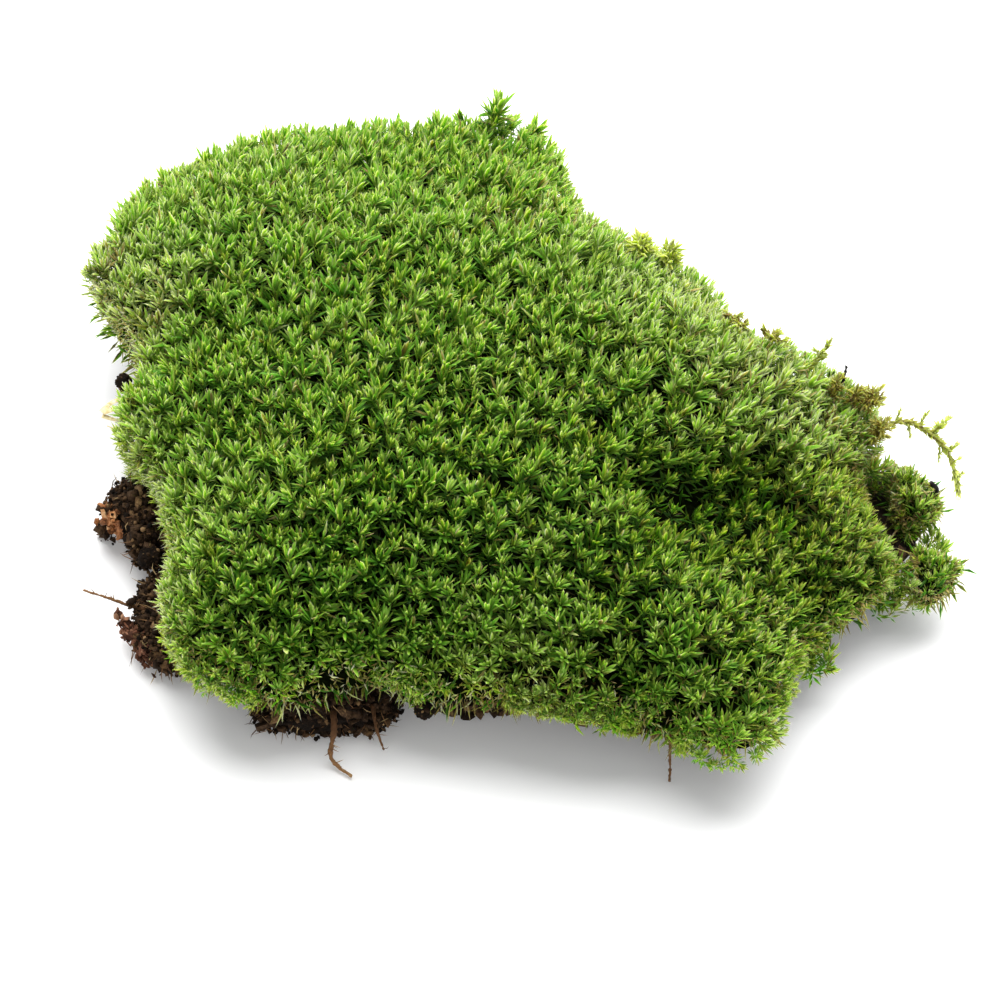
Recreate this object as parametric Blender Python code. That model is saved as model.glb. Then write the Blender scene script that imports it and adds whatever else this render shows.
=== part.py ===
"""A clump of cushion moss, torn up with the soil that it grew on and resting on its cut underside.

The mat and its two side tufts stand on a bed of soil, with loose clods, bark, roots, litter and
sprigs of feather moss. Metres, +Z up, resting on z = 0 with the middle of its box over the origin.
"""

import math
import random

import bmesh
import bpy
import numpy as np
from mathutils import Matrix, Vector, noise
from mathutils.geometry import delaunay_2d_cdt, interpolate_bezier

MM = 0.001
CLEARANCE = 0.35  # left round a small piece in the socket that holds it
FLOOR = 10.0  # height of the moss's underside
SEED = 7

# Outline of the mat at its widest, anticlockwise from the right: x, y and height of the edge, in mm.
MAT_CENTRE = (-17.0, 14.0)
MAT_CROWN = 50.0
MAT_OUTLINE = (
    (85.0, 1.0, 15), (84.5, 9.0, 17), (78.0, 17.5, 18), (69.0, 22.0, 19), (60.5, 25.0, 19),
    (51.5, 31.0, 20), (47.5, 40.5, 22), (39.5, 51.5, 23), (32.5, 55.5, 24), (22.5, 57.5, 24),
    (18.0, 67.0, 24), (12.0, 80.0, 25), (5.0, 95.5, 26), (-12.5, 98.5, 26), (-35.5, 97.5, 26),
    (-60.5, 96.0, 26), (-80.5, 87.0, 26), (-94.5, 78.5, 27), (-99.5, 65.0, 27), (-103.0, 55.0, 27),
    (-104.0, 46.0, 28), (-101.5, 36.5, 28), (-97.0, 29.0, 28), (-91.5, 22.0, 27), (-89.5, 13.0, 26),
    (-92.5, 4.0, 25), (-93.0, -6.0, 24), (-88.5, -14.0, 23), (-83.5, -19.0, 23), (-81.5, -30.0, 22),
    (-80.0, -41.0, 21), (-81.0, -51.0, 20), (-77.0, -66.0, 19), (-72.5, -71.5, 18), (-65.0, -76.5, 18),
    (-58.0, -79.0, 18), (-47.5, -77.0, 18), (-37.5, -73.0, 19), (-26.5, -75.5, 19), (-16.0, -79.0, 18),
    (-5.5, -80.5, 18), (7.5, -82.0, 18), (15.5, -83.5, 17), (24.0, -82.0, 17), (30.5, -87.5, 16),
    (37.5, -90.5, 15), (44.5, -91.5, 15), (52.5, -87.5, 15), (56.0, -78.5, 15), (58.5, -71.5, 15),
    (63.0, -63.5, 14), (65.5, -57.0, 14), (72.5, -51.5, 14), (82.5, -44.0, 14), (82.0, -34.0, 14),
    (80.5, -26.0, 15), (79.0, -12.0, 16),
)
# Swells and hollows of the mat: x, y, rise and reach, in mm.
MAT_SWELLS = (
    (-62.0, 52.0, 2.5, 22.0), (-30.0, -40.0, 2.5, 20.0), (8.0, 42.0, 2.0, 20.0), (46.0, 4.0, 3.5, 15.0),
    (36.0, -42.0, -6.0, 9.0), (50.0, -30.0, -5.0, 7.0), (64.0, -20.0, 3.0, 9.0), (42.0, -74.0, 4.0, 10.0),
    (-62.0, -56.0, 2.0, 12.0), (-82.0, 24.0, 2.0, 12.0), (-10.0, 84.0, 2.0, 12.0), (14.0, -62.0, 2.0, 12.0),
    (74.0, -36.0, 3.0, 8.0),
)
MAT_SPACING = 7.7
MAT_TUFT = 3.0
TUFT_RANGE = (0.6, 1.15)  # tufts are this share of their usual height
# Below its edge the moss goes in and down to its underside: inset in mm, and share of the way down.
UNDERCUT = ((2.5, 0.45), (8.0, 1.0))

# The two tufts beyond the cleft at the mat's right end: centre, crown and outline as above.
SIDE_TUFTS = {
    "moss_tuft_upper": ((88.5, -13.5), 21.0, (
        (96.0, -15.0, 13), (93.0, -9.0, 14), (89.0, -4.0, 14), (85.5, -4.0, 14), (82.0, -9.0, 13),
        (82.0, -18.0, 13), (85.0, -24.0, 12), (91.0, -23.5, 12), (95.5, -20.5, 12),
    )),
    "moss_tuft_lower": ((91.0, -36.5), 18.0, (
        (99.5, -35.0, 13), (96.0, -30.5, 13), (91.5, -27.5, 12), (86.5, -28.5, 12), (84.8, -34.0, 12),
        (85.0, -42.0, 12), (86.5, -46.5, 12), (92.0, -44.5, 12), (96.5, -40.5, 12),
    )),
}
TUFT_SPACING = 4.0
TUFT_SPIKE = 2.2
RIM_SPACING = 0.8  # the edge's points stand closer than the inner ones, by this factor

# The tall shoot at the back edge: its place and how far it stands out.
TALL_SHOOT = ((-5.0, 88.0), 9.0)

# The soil bed's rings, bottom to top: height and share of the way from the centre to the mat's edge.
BED_RINGS = ((0.0, 0.78), (2.0, 0.85), (6.0, 0.88), (9.7, 0.85))
BED_SEGMENTS = 54
BED_ROUGHNESS = 0.06
# The bed reaches out under the side tufts: direction from the centre, width of that lobe, extra share.
BED_LOBE = (math.radians(-17), math.radians(11), 0.24)

# Loose clods against the bed: centre and size, in mm.
CLODS = {
    "soil_clod_left": ((-86.0, -14.5, 7.5), (23.0, 28.0, 17.0)),
    "soil_clod_corner": ((-79.0, -42.5, 5.0), (19.0, 31.0, 12.0)),
    "soil_clod_front": ((-44.0, -67.5, 6.0), (35.0, 19.0, 14.0)),
}
CRUMBS = {
    "soil_crumb_left": ((-93.0, 14.5, 23.0), (4.0, 5.0, 4.4), "moss_cushion"),
    "soil_crumb_side": ((-84.2, -29.0, 10.5), (6.0, 6.0, 5.0), "soil_clod_left"),
    "soil_crumb_front": ((-21.5, -74.0, 13.0), (5.0, 4.0, 3.4), "moss_cushion"),
}
FINE_SIZE = 10.0  # lumps larger than this have the finer mesh
CRUMB_CELL = 3.2
CRUMB_RISE = 1.3
LUMP_CELL = 9.0
LUMP_RISE = 2.0
FULL_RELIEF = 12.0  # lumps thinner than this have less relief

BARK_BREAK = 0.22  # how far its corners and edges are broken away
# Bark: centre, size, turn about Z and lean in degrees, and the clod that it lies on.
BARK = {
    "bark_chip": ((-95.0, -17.5, 7.0), (4.2, 10.0, 9.0), 14.0, -22.0, "soil_clod_left"),
    "bark_flake": ((-86.5, -48.5, 5.2), (3.4, 12.0, 2.6), 33.0, -30.0, "soil_clod_corner"),
}

# Roots, twigs and litter: points from the carrier outwards, radius at the two ends, finish, carrier.
STALKS = {
    "root_left": (((-80.0, -42.5, 7.0), (-86.5, -41.5, 8.0), (-92.0, -40.0, 9.0), (-98.5, -38.5, 10.5)),
                  0.75, 0.28, "root", "soil_clod_corner"),
    "root_front": (((-41.5, -70.0, 9.0), (-41.5, -76.0, 8.0), (-43.0, -79.0, 3.6), (-41.5, -80.5, 1.4),
                    (-37.0, -83.0, 0.9)), 0.85, 0.35, "root", "soil_clod_front"),
    "rootlet_front": (((-33.0, -70.0, 9.5), (-32.0, -76.0, 8.5), (-30.5, -78.5, 4.6)),
                      0.55, 0.30, "root", "soil_clod_front"),
    "twig_front": (((30.5, -80.5, 17.0), (30.5, -82.5, 11.0), (30.8, -83.5, 5.0), (30.8, -84.0, 1.0)),
                   0.45, 0.38, "root", "moss_cushion"),
    "dry_stalk": (((71.5, 6.5, 16.0), (72.5, 8.5, 24.0), (73.3, 9.0, 29.0), (73.6, 9.0, 33.5)),
                  0.42, 0.55, "litter", "moss_cushion"),
    "litter_stub": (((89.5, -15.5, 14.0), (92.0, -15.2, 18.0), (94.2, -14.8, 20.2), (93.4, -13.0, 22.2)),
                    0.75, 0.60, "litter", "moss_tuft_upper"),
    "straw_blade": (((-87.0, 9.0, 23.0), (-93.5, 9.0, 24.5), (-97.5, 11.5, 25.0), (-98.0, 8.0, 23.5),
                     (-95.0, 5.0, 22.5)), 0.50, 0.40, "straw", "moss_cushion"),
}
STALK_STEP = 2.2
KNOBBLY = 0.12  # how much a stalk's thickness wavers

# The long strand of feather moss: points from the mat outwards, down to the ground.
STRAND = ((78.0, 0.5, 17.5), (84.5, 3.0, 22.0), (90.0, 5.0, 21.0), (94.5, 5.0, 16.5),
          (97.8, 4.0, 11.0), (100.3, 1.5, 6.0), (102.0, -1.0, 1.4))
STRAND_BRANCH = 3.6
GROUND_GAP = 1.2  # branches end at least this far above the ground
# Short sprigs of feather moss: where each leaves the mat, how far its tip stands off that, branch length.
SPRIGS = {
    "feather_sprig": ((66.0, 13.0), (3.5, 3.0, 6.5), 2.0),
    "feather_frond_1": ((70.5, 5.0), (1.5, 2.5, 9.0), 2.3),
    "feather_frond_2": ((75.0, 4.5), (2.0, 2.0, 8.5), 2.4),
    "feather_frond_3": ((78.0, 8.5), (3.5, 2.5, 7.5), 2.4),
    "feather_frond_4": ((79.5, -5.5), (3.5, 0.0, 6.5), 2.2),
    "yellow_sprig_1": ((26.5, 43.5), (0.8, 3.0, 7.0), 1.9),
    "yellow_sprig_2": ((35.0, 40.5), (1.5, 3.0, 6.0), 1.8),
    "yellow_sprig_3": ((47.0, 21.0), (2.5, 3.5, 4.0), 1.7),
    "yellow_sprig_4": ((57.0, 17.5), (2.0, 3.0, 4.0), 1.7),
}
SPRIG_ROOT = 4.5  # how deep a sprig's stem goes into the mat
FEATHER_STEP = 2.6
FEATHER_RADIUS = 0.62
FEATHER_TIP = 0.65  # share of the radius left at a stem's tip
BRANCH_RADIUS = (0.5, 0.31)  # at a branch's foot and tip
BARE_STEM = 1.8  # branches start where the stem is this far above the mat
FEATHER_CLEARANCE = 0.45  # wider than elsewhere, as these sockets have only four sides

CLEARING = 4.0  # the mat has no tufts nearer than this to a piece that comes out of it


def colour(red, green, blue):
    """A linear RGBA colour from 0-255 screen values."""
    linear = [((value / 255 + 0.055) / 1.055) ** 2.4 for value in (red, green, blue)]
    return (*linear, 1.0)


MATERIALS = {
    "moss": (colour(86, 122, 38), 0.75),
    "feather_moss": (colour(128, 142, 44), 0.7),
    "soil": (colour(44, 31, 20), 0.95),
    "bark": (colour(140, 88, 48), 0.85),
    "root": (colour(98, 70, 46), 0.8),
    "litter": (colour(46, 38, 32), 0.8),
    "straw": (colour(206, 192, 146), 0.7),
}


def clear_scene():
    for item in list(bpy.data.objects):
        bpy.data.objects.remove(item, do_unlink=True)


def new_collection(name):
    collection = bpy.data.collections.new(name)
    bpy.context.scene.collection.children.link(collection)
    return collection


def new_material(name):
    base_colour, roughness = MATERIALS[name]
    material = bpy.data.materials.new(name)
    material.use_nodes = True
    shader = material.node_tree.nodes["Principled BSDF"]
    shader.inputs["Base Color"].default_value = base_colour
    shader.inputs["Roughness"].default_value = roughness
    shader.inputs["Metallic"].default_value = 0.0
    return material


clear_scene()
random.seed(SEED)
PARTS = new_collection("moss_clump")
CUTTERS = new_collection("cutters")
FINISH = {name: new_material(name) for name in MATERIALS}


def add_part(name, mesh, finish):
    """An object for the model, from a mesh whose units are metres."""
    part = bpy.data.objects.new(name, mesh)
    mesh.materials.clear()
    mesh.materials.append(FINISH[finish])
    PARTS.objects.link(part)
    return part


def add_cutter(name, mesh):
    cutter = bpy.data.objects.new(name + "_socket", mesh)
    cutter.hide_render = True
    cutter.display_type = "WIRE"
    CUTTERS.objects.link(cutter)
    return cutter


def mesh_of(name, bm):
    """A mesh in metres from a bmesh in millimetres."""
    bmesh.ops.recalc_face_normals(bm, faces=bm.faces)
    mesh = bpy.data.meshes.new(name)
    bm.to_mesh(mesh)
    bm.free()
    mesh.transform(Matrix.Scale(MM, 4))
    return mesh


def cut_socket(carrier, cutter):
    cut = carrier.modifiers.new(cutter.name, "BOOLEAN")
    cut.operation = "DIFFERENCE"
    cut.object = cutter


def smooth_path(points, spacing, closed=False):
    """Points about one spacing apart on the smooth curve through the given points."""
    count = len(points)
    path = []
    for index in range(count if closed else count - 1):
        near = [index - 1, index, index + 1, index + 2]
        near = [i % count if closed else min(max(i, 0), count - 1) for i in near]
        before, here, there, after = (Vector(points[i]) for i in near)
        steps = max(1, round((there - here).length / spacing))
        leaving = here + (there - before) / 6
        arriving = there - (after - here) / 6
        path.extend(interpolate_bezier(here, leaving, arriving, there, steps + 1)[:-1])
    if not closed:
        path.append(Vector(points[-1]))
    return path


class Dome:
    """A low rounded top over an outline whose every point can be seen from its centre."""

    TURN = 2 * math.pi
    ROUNDING = 2.2  # how flat the top stays on the way out from the centre
    EDGE = 0.72  # how steeply it falls at the edge
    RAGGED = 0.5  # the edge wavers by this much
    LOOSE = 0.24  # inner points stray by this share of their spacing
    EASE = 0.35  # swells die away where less than this share of the height is left

    def __init__(self, centre, crown, outline, spacing, swells=()):
        self.centre = Vector(centre)
        self.crown = crown
        self.swells = swells
        self.rim = smooth_path(outline, spacing, closed=True)
        offsets = [point.xy - self.centre for point in self.rim]
        self.angles = [math.atan2(offset.y, offset.x) for offset in offsets]
        self.radii = [offset.length + random.uniform(-self.RAGGED, self.RAGGED) for offset in offsets]
        self.edges = [point.z for point in self.rim]
        self.rim = [self.point(*place) for place in zip(self.angles, [1] * len(offsets), self.edges)]

    def radius(self, angle):
        return float(np.interp(angle, self.angles, self.radii, period=self.TURN))

    def edge(self, angle):
        return float(np.interp(angle, self.angles, self.edges, period=self.TURN))

    def polar(self, x, y):
        """Direction from the centre, and the share of the way to the edge."""
        offset = Vector((x, y)) - self.centre
        angle = math.atan2(offset.y, offset.x)
        return angle, offset.length / self.radius(angle)

    def point(self, angle, share, height):
        place = self.centre + Vector((math.cos(angle), math.sin(angle))) * self.radius(angle) * share
        return place.to_3d() + Vector((0, 0, height))

    def fall(self, share):
        """Height that is left, as a share: 1 at the centre and 0 at the edge."""
        return (1 - np.minimum(share, 1.0) ** self.ROUNDING) ** self.EDGE

    def height(self, x, y):
        angle, share = self.polar(x, y)
        fall = float(self.fall(share))
        low = self.edge(angle)
        swell = sum(rise * math.exp(-((math.dist((x, y), (at_x, at_y)) / reach) ** 2))
                    for at_x, at_y, rise, reach in self.swells)
        return low + (self.crown - low) * fall + swell * min(fall / self.EASE, 1.0)

    def unrolled(self):
        """Shares from the centre outwards, and the typical length of surface up to each."""
        shares = np.linspace(0, 1, 60)
        radius = np.mean(self.radii)
        heights = (self.crown - np.mean(self.edges)) * self.fall(shares)
        steps = np.hypot(np.diff(shares) * radius, np.diff(heights))
        return shares, np.concatenate([[0], np.cumsum(steps)]) / radius

    def inner_points(self, spacing):
        """A loose triangular grid over the surface, even on its slopes, that stays clear of the edge."""
        shares, lengths = self.unrolled()
        row_spacing = spacing * math.sqrt(0.75)
        reach = max(self.radii) * lengths[-1]
        rows = math.ceil(reach / row_spacing)
        columns = math.ceil(reach / spacing)
        loose = self.LOOSE * spacing
        points = []
        for row in range(-rows, rows + 1):
            for column in range(-columns, columns + 1):
                across = (column + 0.5 * (row % 2)) * spacing + random.uniform(-loose, loose)
                deep = row * row_spacing + random.uniform(-loose, loose)
                angle = math.atan2(deep, across)
                share = np.interp(math.hypot(across, deep) / self.radius(angle), lengths, shares)
                if (1 - share) * self.radius(angle) > spacing * 0.35:
                    points.append(self.point(angle, share, 0).xy)
        return points


def dome_top(dome, spacing):
    """The open top of a dome, as loose triangles that face up."""
    border = [point.xy for point in dome.rim]
    edges = [(i, (i + 1) % len(border)) for i in range(len(border))]
    points, _, triangles, *_ = delaunay_2d_cdt(border + dome.inner_points(spacing), edges, [], 1, 1e-4)
    bm = bmesh.new()
    verts = [bm.verts.new((x, y, dome.height(x, y))) for x, y in points]
    for triangle in triangles:
        bm.faces.new([verts[i] for i in triangle])
    bm.normal_update()
    bmesh.ops.reverse_faces(bm, faces=[face for face in bm.faces if face.normal.z < 0])
    return bm


def raise_tufts(bm, spike, clearings, tall_shoot):
    """Draws each triangle up into a small tuft, lower where another piece comes out of the moss."""
    tips = bmesh.ops.poke(bm, faces=bm.faces, center_mode="MEAN")["verts"]
    bm.normal_update()
    for tip in tips:
        nearest = min((math.dist(tip.co.xy, place) for place in clearings), default=math.inf)
        room = min(max(nearest / CLEARING - 1, 0.0), 1.0)
        lean = (tip.normal + Vector((0, 0, 0.8))).normalized()
        tip.co += lean * spike * room * random.uniform(*TUFT_RANGE)
    if tall_shoot:
        place, rise = tall_shoot
        min(tips, key=lambda tip: math.dist(tip.co.xy, place)).co.z += rise


def close_underneath(bm, dome):
    """Takes the open edge in and down in two steps to a flat underside."""
    middle = dome.centre.to_3d()
    edges = [edge for edge in bm.edges if edge.is_boundary]
    for inset, sink in UNDERCUT:
        grown = bmesh.ops.extrude_edge_only(bm, edges=edges)["geom"]
        edges = [item for item in grown if isinstance(item, bmesh.types.BMEdge)]
        for vert in (item for item in grown if isinstance(item, bmesh.types.BMVert)):
            outward = vert.co - middle
            outward.z = 0
            vert.co -= outward.normalized() * min(inset, outward.length * 0.3)
            vert.co.z += (FLOOR - vert.co.z) * sink
    bmesh.ops.contextual_create(bm, geom=edges)


def moss_mesh(name, dome, spacing, spike, clearings=(), tall_shoot=None):
    bm = dome_top(dome, spacing)
    raise_tufts(bm, spike, clearings, tall_shoot)
    close_underneath(bm, dome)
    return mesh_of(name, bm)


def bed_mesh(name, dome):
    """The soil under the mat: rings that follow the mat's outline, flat on top and underneath."""
    bm = bmesh.new()
    ring = bmesh.ops.create_circle(bm, cap_ends=True, radius=1, segments=BED_SEGMENTS)["verts"]
    edges = list({edge for vert in ring for edge in vert.link_edges})
    for level in range(1, len(BED_RINGS)):
        grown = bmesh.ops.extrude_edge_only(bm, edges=edges)["geom"]
        edges = [item for item in grown if isinstance(item, bmesh.types.BMEdge)]
        for vert in (item for item in grown if isinstance(item, bmesh.types.BMVert)):
            vert.co.z = level
    bmesh.ops.contextual_create(bm, geom=edges)
    for vert in bm.verts:
        height, share = BED_RINGS[round(vert.co.z)]
        angle = math.atan2(vert.co.y, vert.co.x)
        rough = noise.noise(Vector((vert.co.x * 6, vert.co.y * 6, height * 0.2)))
        direction, width, extra = BED_LOBE
        lobe = extra * math.exp(-(((angle - direction) / width) ** 2))
        vert.co = dome.point(angle, share + lobe + BED_ROUGHNESS * rough, height)
    return mesh_of(name, bm)


def clod_mesh(name, centre, size, grow=0.0):
    """A crumbly lump of soil, cut flat where it would reach below the ground."""
    bm = bmesh.new()
    bmesh.ops.create_icosphere(bm, subdivisions=3 if max(size) > FINE_SIZE else 2, radius=1)
    for vert in bm.verts:
        outward = vert.co.normalized()
        spot = Vector([c + o * s / 2 for c, o, s in zip(centre, outward, size)])
        nearest = noise.voronoi(spot / CRUMB_CELL)[0][0]
        relief = CRUMB_RISE * (1 - 2 * nearest) + LUMP_RISE * noise.noise(spot / LUMP_CELL)
        vert.co = spot + outward * (relief * min(min(size) / FULL_RELIEF, 1.0) + grow)
    if not grow and min(vert.co.z for vert in bm.verts) < 0:
        everything = list(bm.verts) + list(bm.edges) + list(bm.faces)
        bmesh.ops.bisect_plane(bm, geom=everything, dist=1e-4, plane_co=(0, 0, 0), plane_no=(0, 0, 1),
                               clear_inner=True)
        open_edges = [edge for edge in bm.edges if edge.is_boundary]
        bmesh.ops.contextual_create(bm, geom=open_edges)
    return mesh_of(name, bm)


def bark_mesh(name, centre, size, turn, lean, grow=0.0):
    """A piece of bark: a rounded block with a broken outline and a ridged face."""
    bm = bmesh.new()
    bmesh.ops.create_cube(bm, size=1)
    bmesh.ops.subdivide_edges(bm, edges=bm.edges, cuts=2, use_grid_fill=True)
    bmesh.ops.triangulate(bm, faces=bm.faces)
    for vert in bm.verts:
        corner = vert.co.length / math.sqrt(0.75)
        broken = noise.noise(vert.co * 3.1 + Vector(centre))
        vert.co *= 1 + BARK_BREAK * (broken - corner**3)
        vert.co = Vector([c * s for c, s in zip(vert.co, size)])
    bm.normal_update()
    for vert in bm.verts:
        vert.co += vert.normal * grow
    place = Matrix.Translation(centre) @ Matrix.Rotation(math.radians(turn), 4, "Z")
    bm.transform(place @ Matrix.Rotation(math.radians(lean), 4, "Y"))
    return mesh_of(name, bm)


def stalk_mesh(name, strands, sides=6, grow=0.0):
    """Tapered round stalks along smooth lines: a bevelled curve made into closed meshes."""
    curve = bpy.data.curves.new(name, "CURVE")
    curve.dimensions = "3D"
    curve.bevel_depth = MM
    curve.bevel_resolution = (sides - 4) // 2
    curve.use_fill_caps = True
    for path, start_radius, end_radius in strands:
        spline = curve.splines.new("POLY")
        spline.points.add(len(path) - 1)
        for index, point in enumerate(path):
            along = index / (len(path) - 1)
            radius = start_radius + (end_radius - start_radius) * along
            spline.points[index].co = (*(point * MM), 1)
            spline.points[index].radius = radius * (1 + KNOBBLY * math.sin(5 * index)) + grow
    holder = bpy.data.objects.new(name, curve)
    bpy.context.scene.collection.objects.link(holder)
    evaluated = holder.evaluated_get(bpy.context.evaluated_depsgraph_get())
    mesh = bpy.data.meshes.new_from_object(evaluated)
    bpy.data.objects.remove(holder, do_unlink=True)
    bm = bmesh.new()
    bm.from_mesh(mesh)
    bmesh.ops.remove_doubles(bm, verts=bm.verts, dist=1e-6)
    bmesh.ops.recalc_face_normals(bm, faces=bm.faces)
    bm.to_mesh(mesh)
    bm.free()
    return mesh


def clear_of(dome, point):
    """Whether a point is outside the mat's outline, or well above its top."""
    outside = dome.polar(point.x, point.y)[1] > 1.02
    return outside or point.z > dome.height(point.x, point.y) + BARE_STEM


def feather_branches(stem, branch_length, dome):
    """Short branches on alternate sides of a stem, as strands that start on its line."""
    strands = []
    for index in range(1, len(stem) - 1):
        along = (stem[index + 1] - stem[index - 1]).normalized()
        side = along.cross(Vector((0.3, -0.6, 0.75))).normalized() * (-1) ** index
        length = branch_length * (1 - 0.35 * index / len(stem))
        tip = stem[index] + (side * 0.85 + along * 0.55) * length
        tip.z = max(tip.z, GROUND_GAP)
        if clear_of(dome, stem[index]) and clear_of(dome, tip):
            strands.append(((stem[index], tip), *BRANCH_RADIUS))
    return strands


def sprig_points(dome, exit_point, rise):
    """A short stem that comes up through the mat's top and leans the way that its tip goes."""
    x, y = exit_point
    surface = Vector((x, y, dome.height(x, y)))
    rise = Vector(rise)
    root = surface - rise.normalized() * SPRIG_ROOT
    middle = surface + rise * 0.55 + Vector((rise.x, rise.y, 0)) * 0.12
    return root, surface, middle, surface + rise


def make_feather_moss(name, points, branch_length, dome):
    """A stem joined with its branches, and the socket of the stem alone."""
    stem = smooth_path(points, FEATHER_STEP)
    strand = (stem, FEATHER_RADIUS, FEATHER_RADIUS * FEATHER_TIP)
    piece = add_part(name, stalk_mesh(name, [strand], sides=4), "feather_moss")
    branches = stalk_mesh(name + "_branches", feather_branches(stem, branch_length, dome), sides=4)
    join = piece.modifiers.new("branches", "BOOLEAN")
    join.operation = "UNION"
    join.object = add_cutter(name + "_branches", branches)
    return piece, add_cutter(name, stalk_mesh(name + "_socket", [strand], sides=4, grow=FEATHER_CLEARANCE))


def recentre(collections):
    """Moves everything so that the middle of the model's box stands over the origin."""
    bpy.context.view_layer.update()
    graph = bpy.context.evaluated_depsgraph_get()
    corners = [Vector(corner) for part in PARTS.objects for corner in part.evaluated_get(graph).bound_box]
    low = Vector([min(corner[axis] for corner in corners) for axis in range(3)])
    high = Vector([max(corner[axis] for corner in corners) for axis in range(3)])
    shift = -(low + high) / 2
    shift.z = -low.z
    for collection in collections:
        for item in collection.objects:
            item.location += shift
    print("box in mm:", [round(side / MM, 1) for side in high - low])
    print("moved by in mm:", [round(step / MM, 2) for step in shift])


def build():
    on_mat = [exit_point for exit_point, *_ in SPRIGS.values()] + [STRAND[1][:2]]
    on_mat += [points[1][:2] for points, *_, carrier in STALKS.values() if carrier == "moss_cushion"]

    mat_dome = Dome(MAT_CENTRE, MAT_CROWN, MAT_OUTLINE, MAT_SPACING * RIM_SPACING, MAT_SWELLS)
    mat = moss_mesh("moss_cushion", mat_dome, MAT_SPACING, MAT_TUFT, on_mat, TALL_SHOOT)
    made = {"moss_cushion": add_part("moss_cushion", mat, "moss")}
    for name, (centre, crown, outline) in SIDE_TUFTS.items():
        dome = Dome(centre, crown, outline, TUFT_SPACING * RIM_SPACING)
        made[name] = add_part(name, moss_mesh(name, dome, TUFT_SPACING, TUFT_SPIKE), "moss")

    made["soil_bed"] = add_part("soil_bed", bed_mesh("soil_bed", mat_dome), "soil")
    for name, (centre, size) in CLODS.items():
        made[name] = add_part(name, clod_mesh(name, centre, size), "soil")
        cutter = add_cutter(name, clod_mesh(name + "_socket", centre, size, CLEARANCE))
        cut_socket(made["soil_bed"], cutter)
        cut_socket(made["moss_cushion"], cutter)
    cut_socket(made["soil_clod_corner"], CUTTERS.objects["soil_clod_left_socket"])

    for name, (centre, size, carrier) in CRUMBS.items():
        made[name] = add_part(name, clod_mesh(name, centre, size), "soil")
        cut_socket(made[carrier], add_cutter(name, clod_mesh(name + "_socket", centre, size, CLEARANCE)))
    for name, (*shape, carrier) in BARK.items():
        made[name] = add_part(name, bark_mesh(name, *shape), "bark")
        cut_socket(made[carrier], add_cutter(name, bark_mesh(name + "_socket", *shape, CLEARANCE)))

    for name, (points, start_radius, end_radius, finish, carrier) in STALKS.items():
        strand = (smooth_path(points, STALK_STEP), start_radius, end_radius)
        made[name] = add_part(name, stalk_mesh(name, [strand]), finish)
        wide = stalk_mesh(name + "_socket", [strand], grow=CLEARANCE)
        cut_socket(made[carrier], add_cutter(name, wide))
    feather_moss = {"feather_strand": (STRAND, STRAND_BRANCH)}
    for name, (exit_point, rise, branch_length) in SPRIGS.items():
        feather_moss[name] = (sprig_points(mat_dome, exit_point, rise), branch_length)
    for name, (points, branch_length) in feather_moss.items():
        made[name], cutter = make_feather_moss(name, points, branch_length, mat_dome)
        cut_socket(made["moss_cushion"], cutter)
    recentre((PARTS, CUTTERS))


build()
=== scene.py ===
# %% [markdown]
# # A clump of cushion moss
#
# The real thing is a low dome of moss, torn up with the soil that it grew on. The CAD model gives
# its solids: a mat with two side tufts, a bed of soil, clods, bark, roots and sprigs of another
# moss. This lesson dresses those solids. It starts by loading them, and most of what it adds is
# measured from them. Some small things are given one by one: soft spots of colour and light, heaps
# of shoots between the tufts, and places where the rim swells or draws in. Lengths are written in
# millimetres and multiplied by `MM`, because Blender works in metres.

# %% Load the packed clump
import math

import bmesh
import bpy
import numpy as np
from mathutils import Matrix, Vector, noise
from mathutils.bvhtree import BVHTree
from mathutils.geometry import interpolate_bezier


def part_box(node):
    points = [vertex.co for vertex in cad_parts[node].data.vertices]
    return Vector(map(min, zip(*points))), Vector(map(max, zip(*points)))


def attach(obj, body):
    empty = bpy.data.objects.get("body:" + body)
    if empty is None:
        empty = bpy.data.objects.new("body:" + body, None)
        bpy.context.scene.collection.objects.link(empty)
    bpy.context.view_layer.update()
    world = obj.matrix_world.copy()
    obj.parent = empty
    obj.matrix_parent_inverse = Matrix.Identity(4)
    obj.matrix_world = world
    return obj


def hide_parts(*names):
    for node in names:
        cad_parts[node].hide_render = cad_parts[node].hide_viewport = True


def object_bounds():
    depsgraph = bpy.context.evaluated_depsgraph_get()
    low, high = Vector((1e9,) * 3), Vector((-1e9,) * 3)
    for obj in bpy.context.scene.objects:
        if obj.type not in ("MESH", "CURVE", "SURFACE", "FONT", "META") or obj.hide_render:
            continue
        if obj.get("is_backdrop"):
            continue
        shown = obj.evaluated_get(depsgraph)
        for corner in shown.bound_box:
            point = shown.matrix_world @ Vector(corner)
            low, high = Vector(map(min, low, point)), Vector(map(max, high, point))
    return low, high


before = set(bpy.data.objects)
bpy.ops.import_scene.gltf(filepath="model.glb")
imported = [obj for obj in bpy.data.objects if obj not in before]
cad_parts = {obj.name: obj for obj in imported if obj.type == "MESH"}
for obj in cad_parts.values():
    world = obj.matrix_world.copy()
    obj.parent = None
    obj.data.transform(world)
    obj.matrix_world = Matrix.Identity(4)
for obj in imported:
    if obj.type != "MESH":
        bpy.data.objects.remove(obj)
CAD_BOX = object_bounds()
MM = 0.001

print("box of the clump in mm:", [round(side / MM, 1) for side in CAD_BOX[1] - CAD_BOX[0]])

# %% [markdown]
# The picture is taken from the front, with the camera 48 degrees above the table. A long lens from
# some way off keeps the dome's far edge nearly as large as the near one. The lens follows from how
# much of the table the picture spans at the point that it looks at.

# %% Camera
VIEW_DISTANCE = 620 * MM
VIEW_ELEVATION = math.radians(48)
VIEW_SPAN = 225 * MM
LOOKS_AT = Vector((-4.9, -23.7, 20.0)) * MM
SENSOR = 36.0

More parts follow.
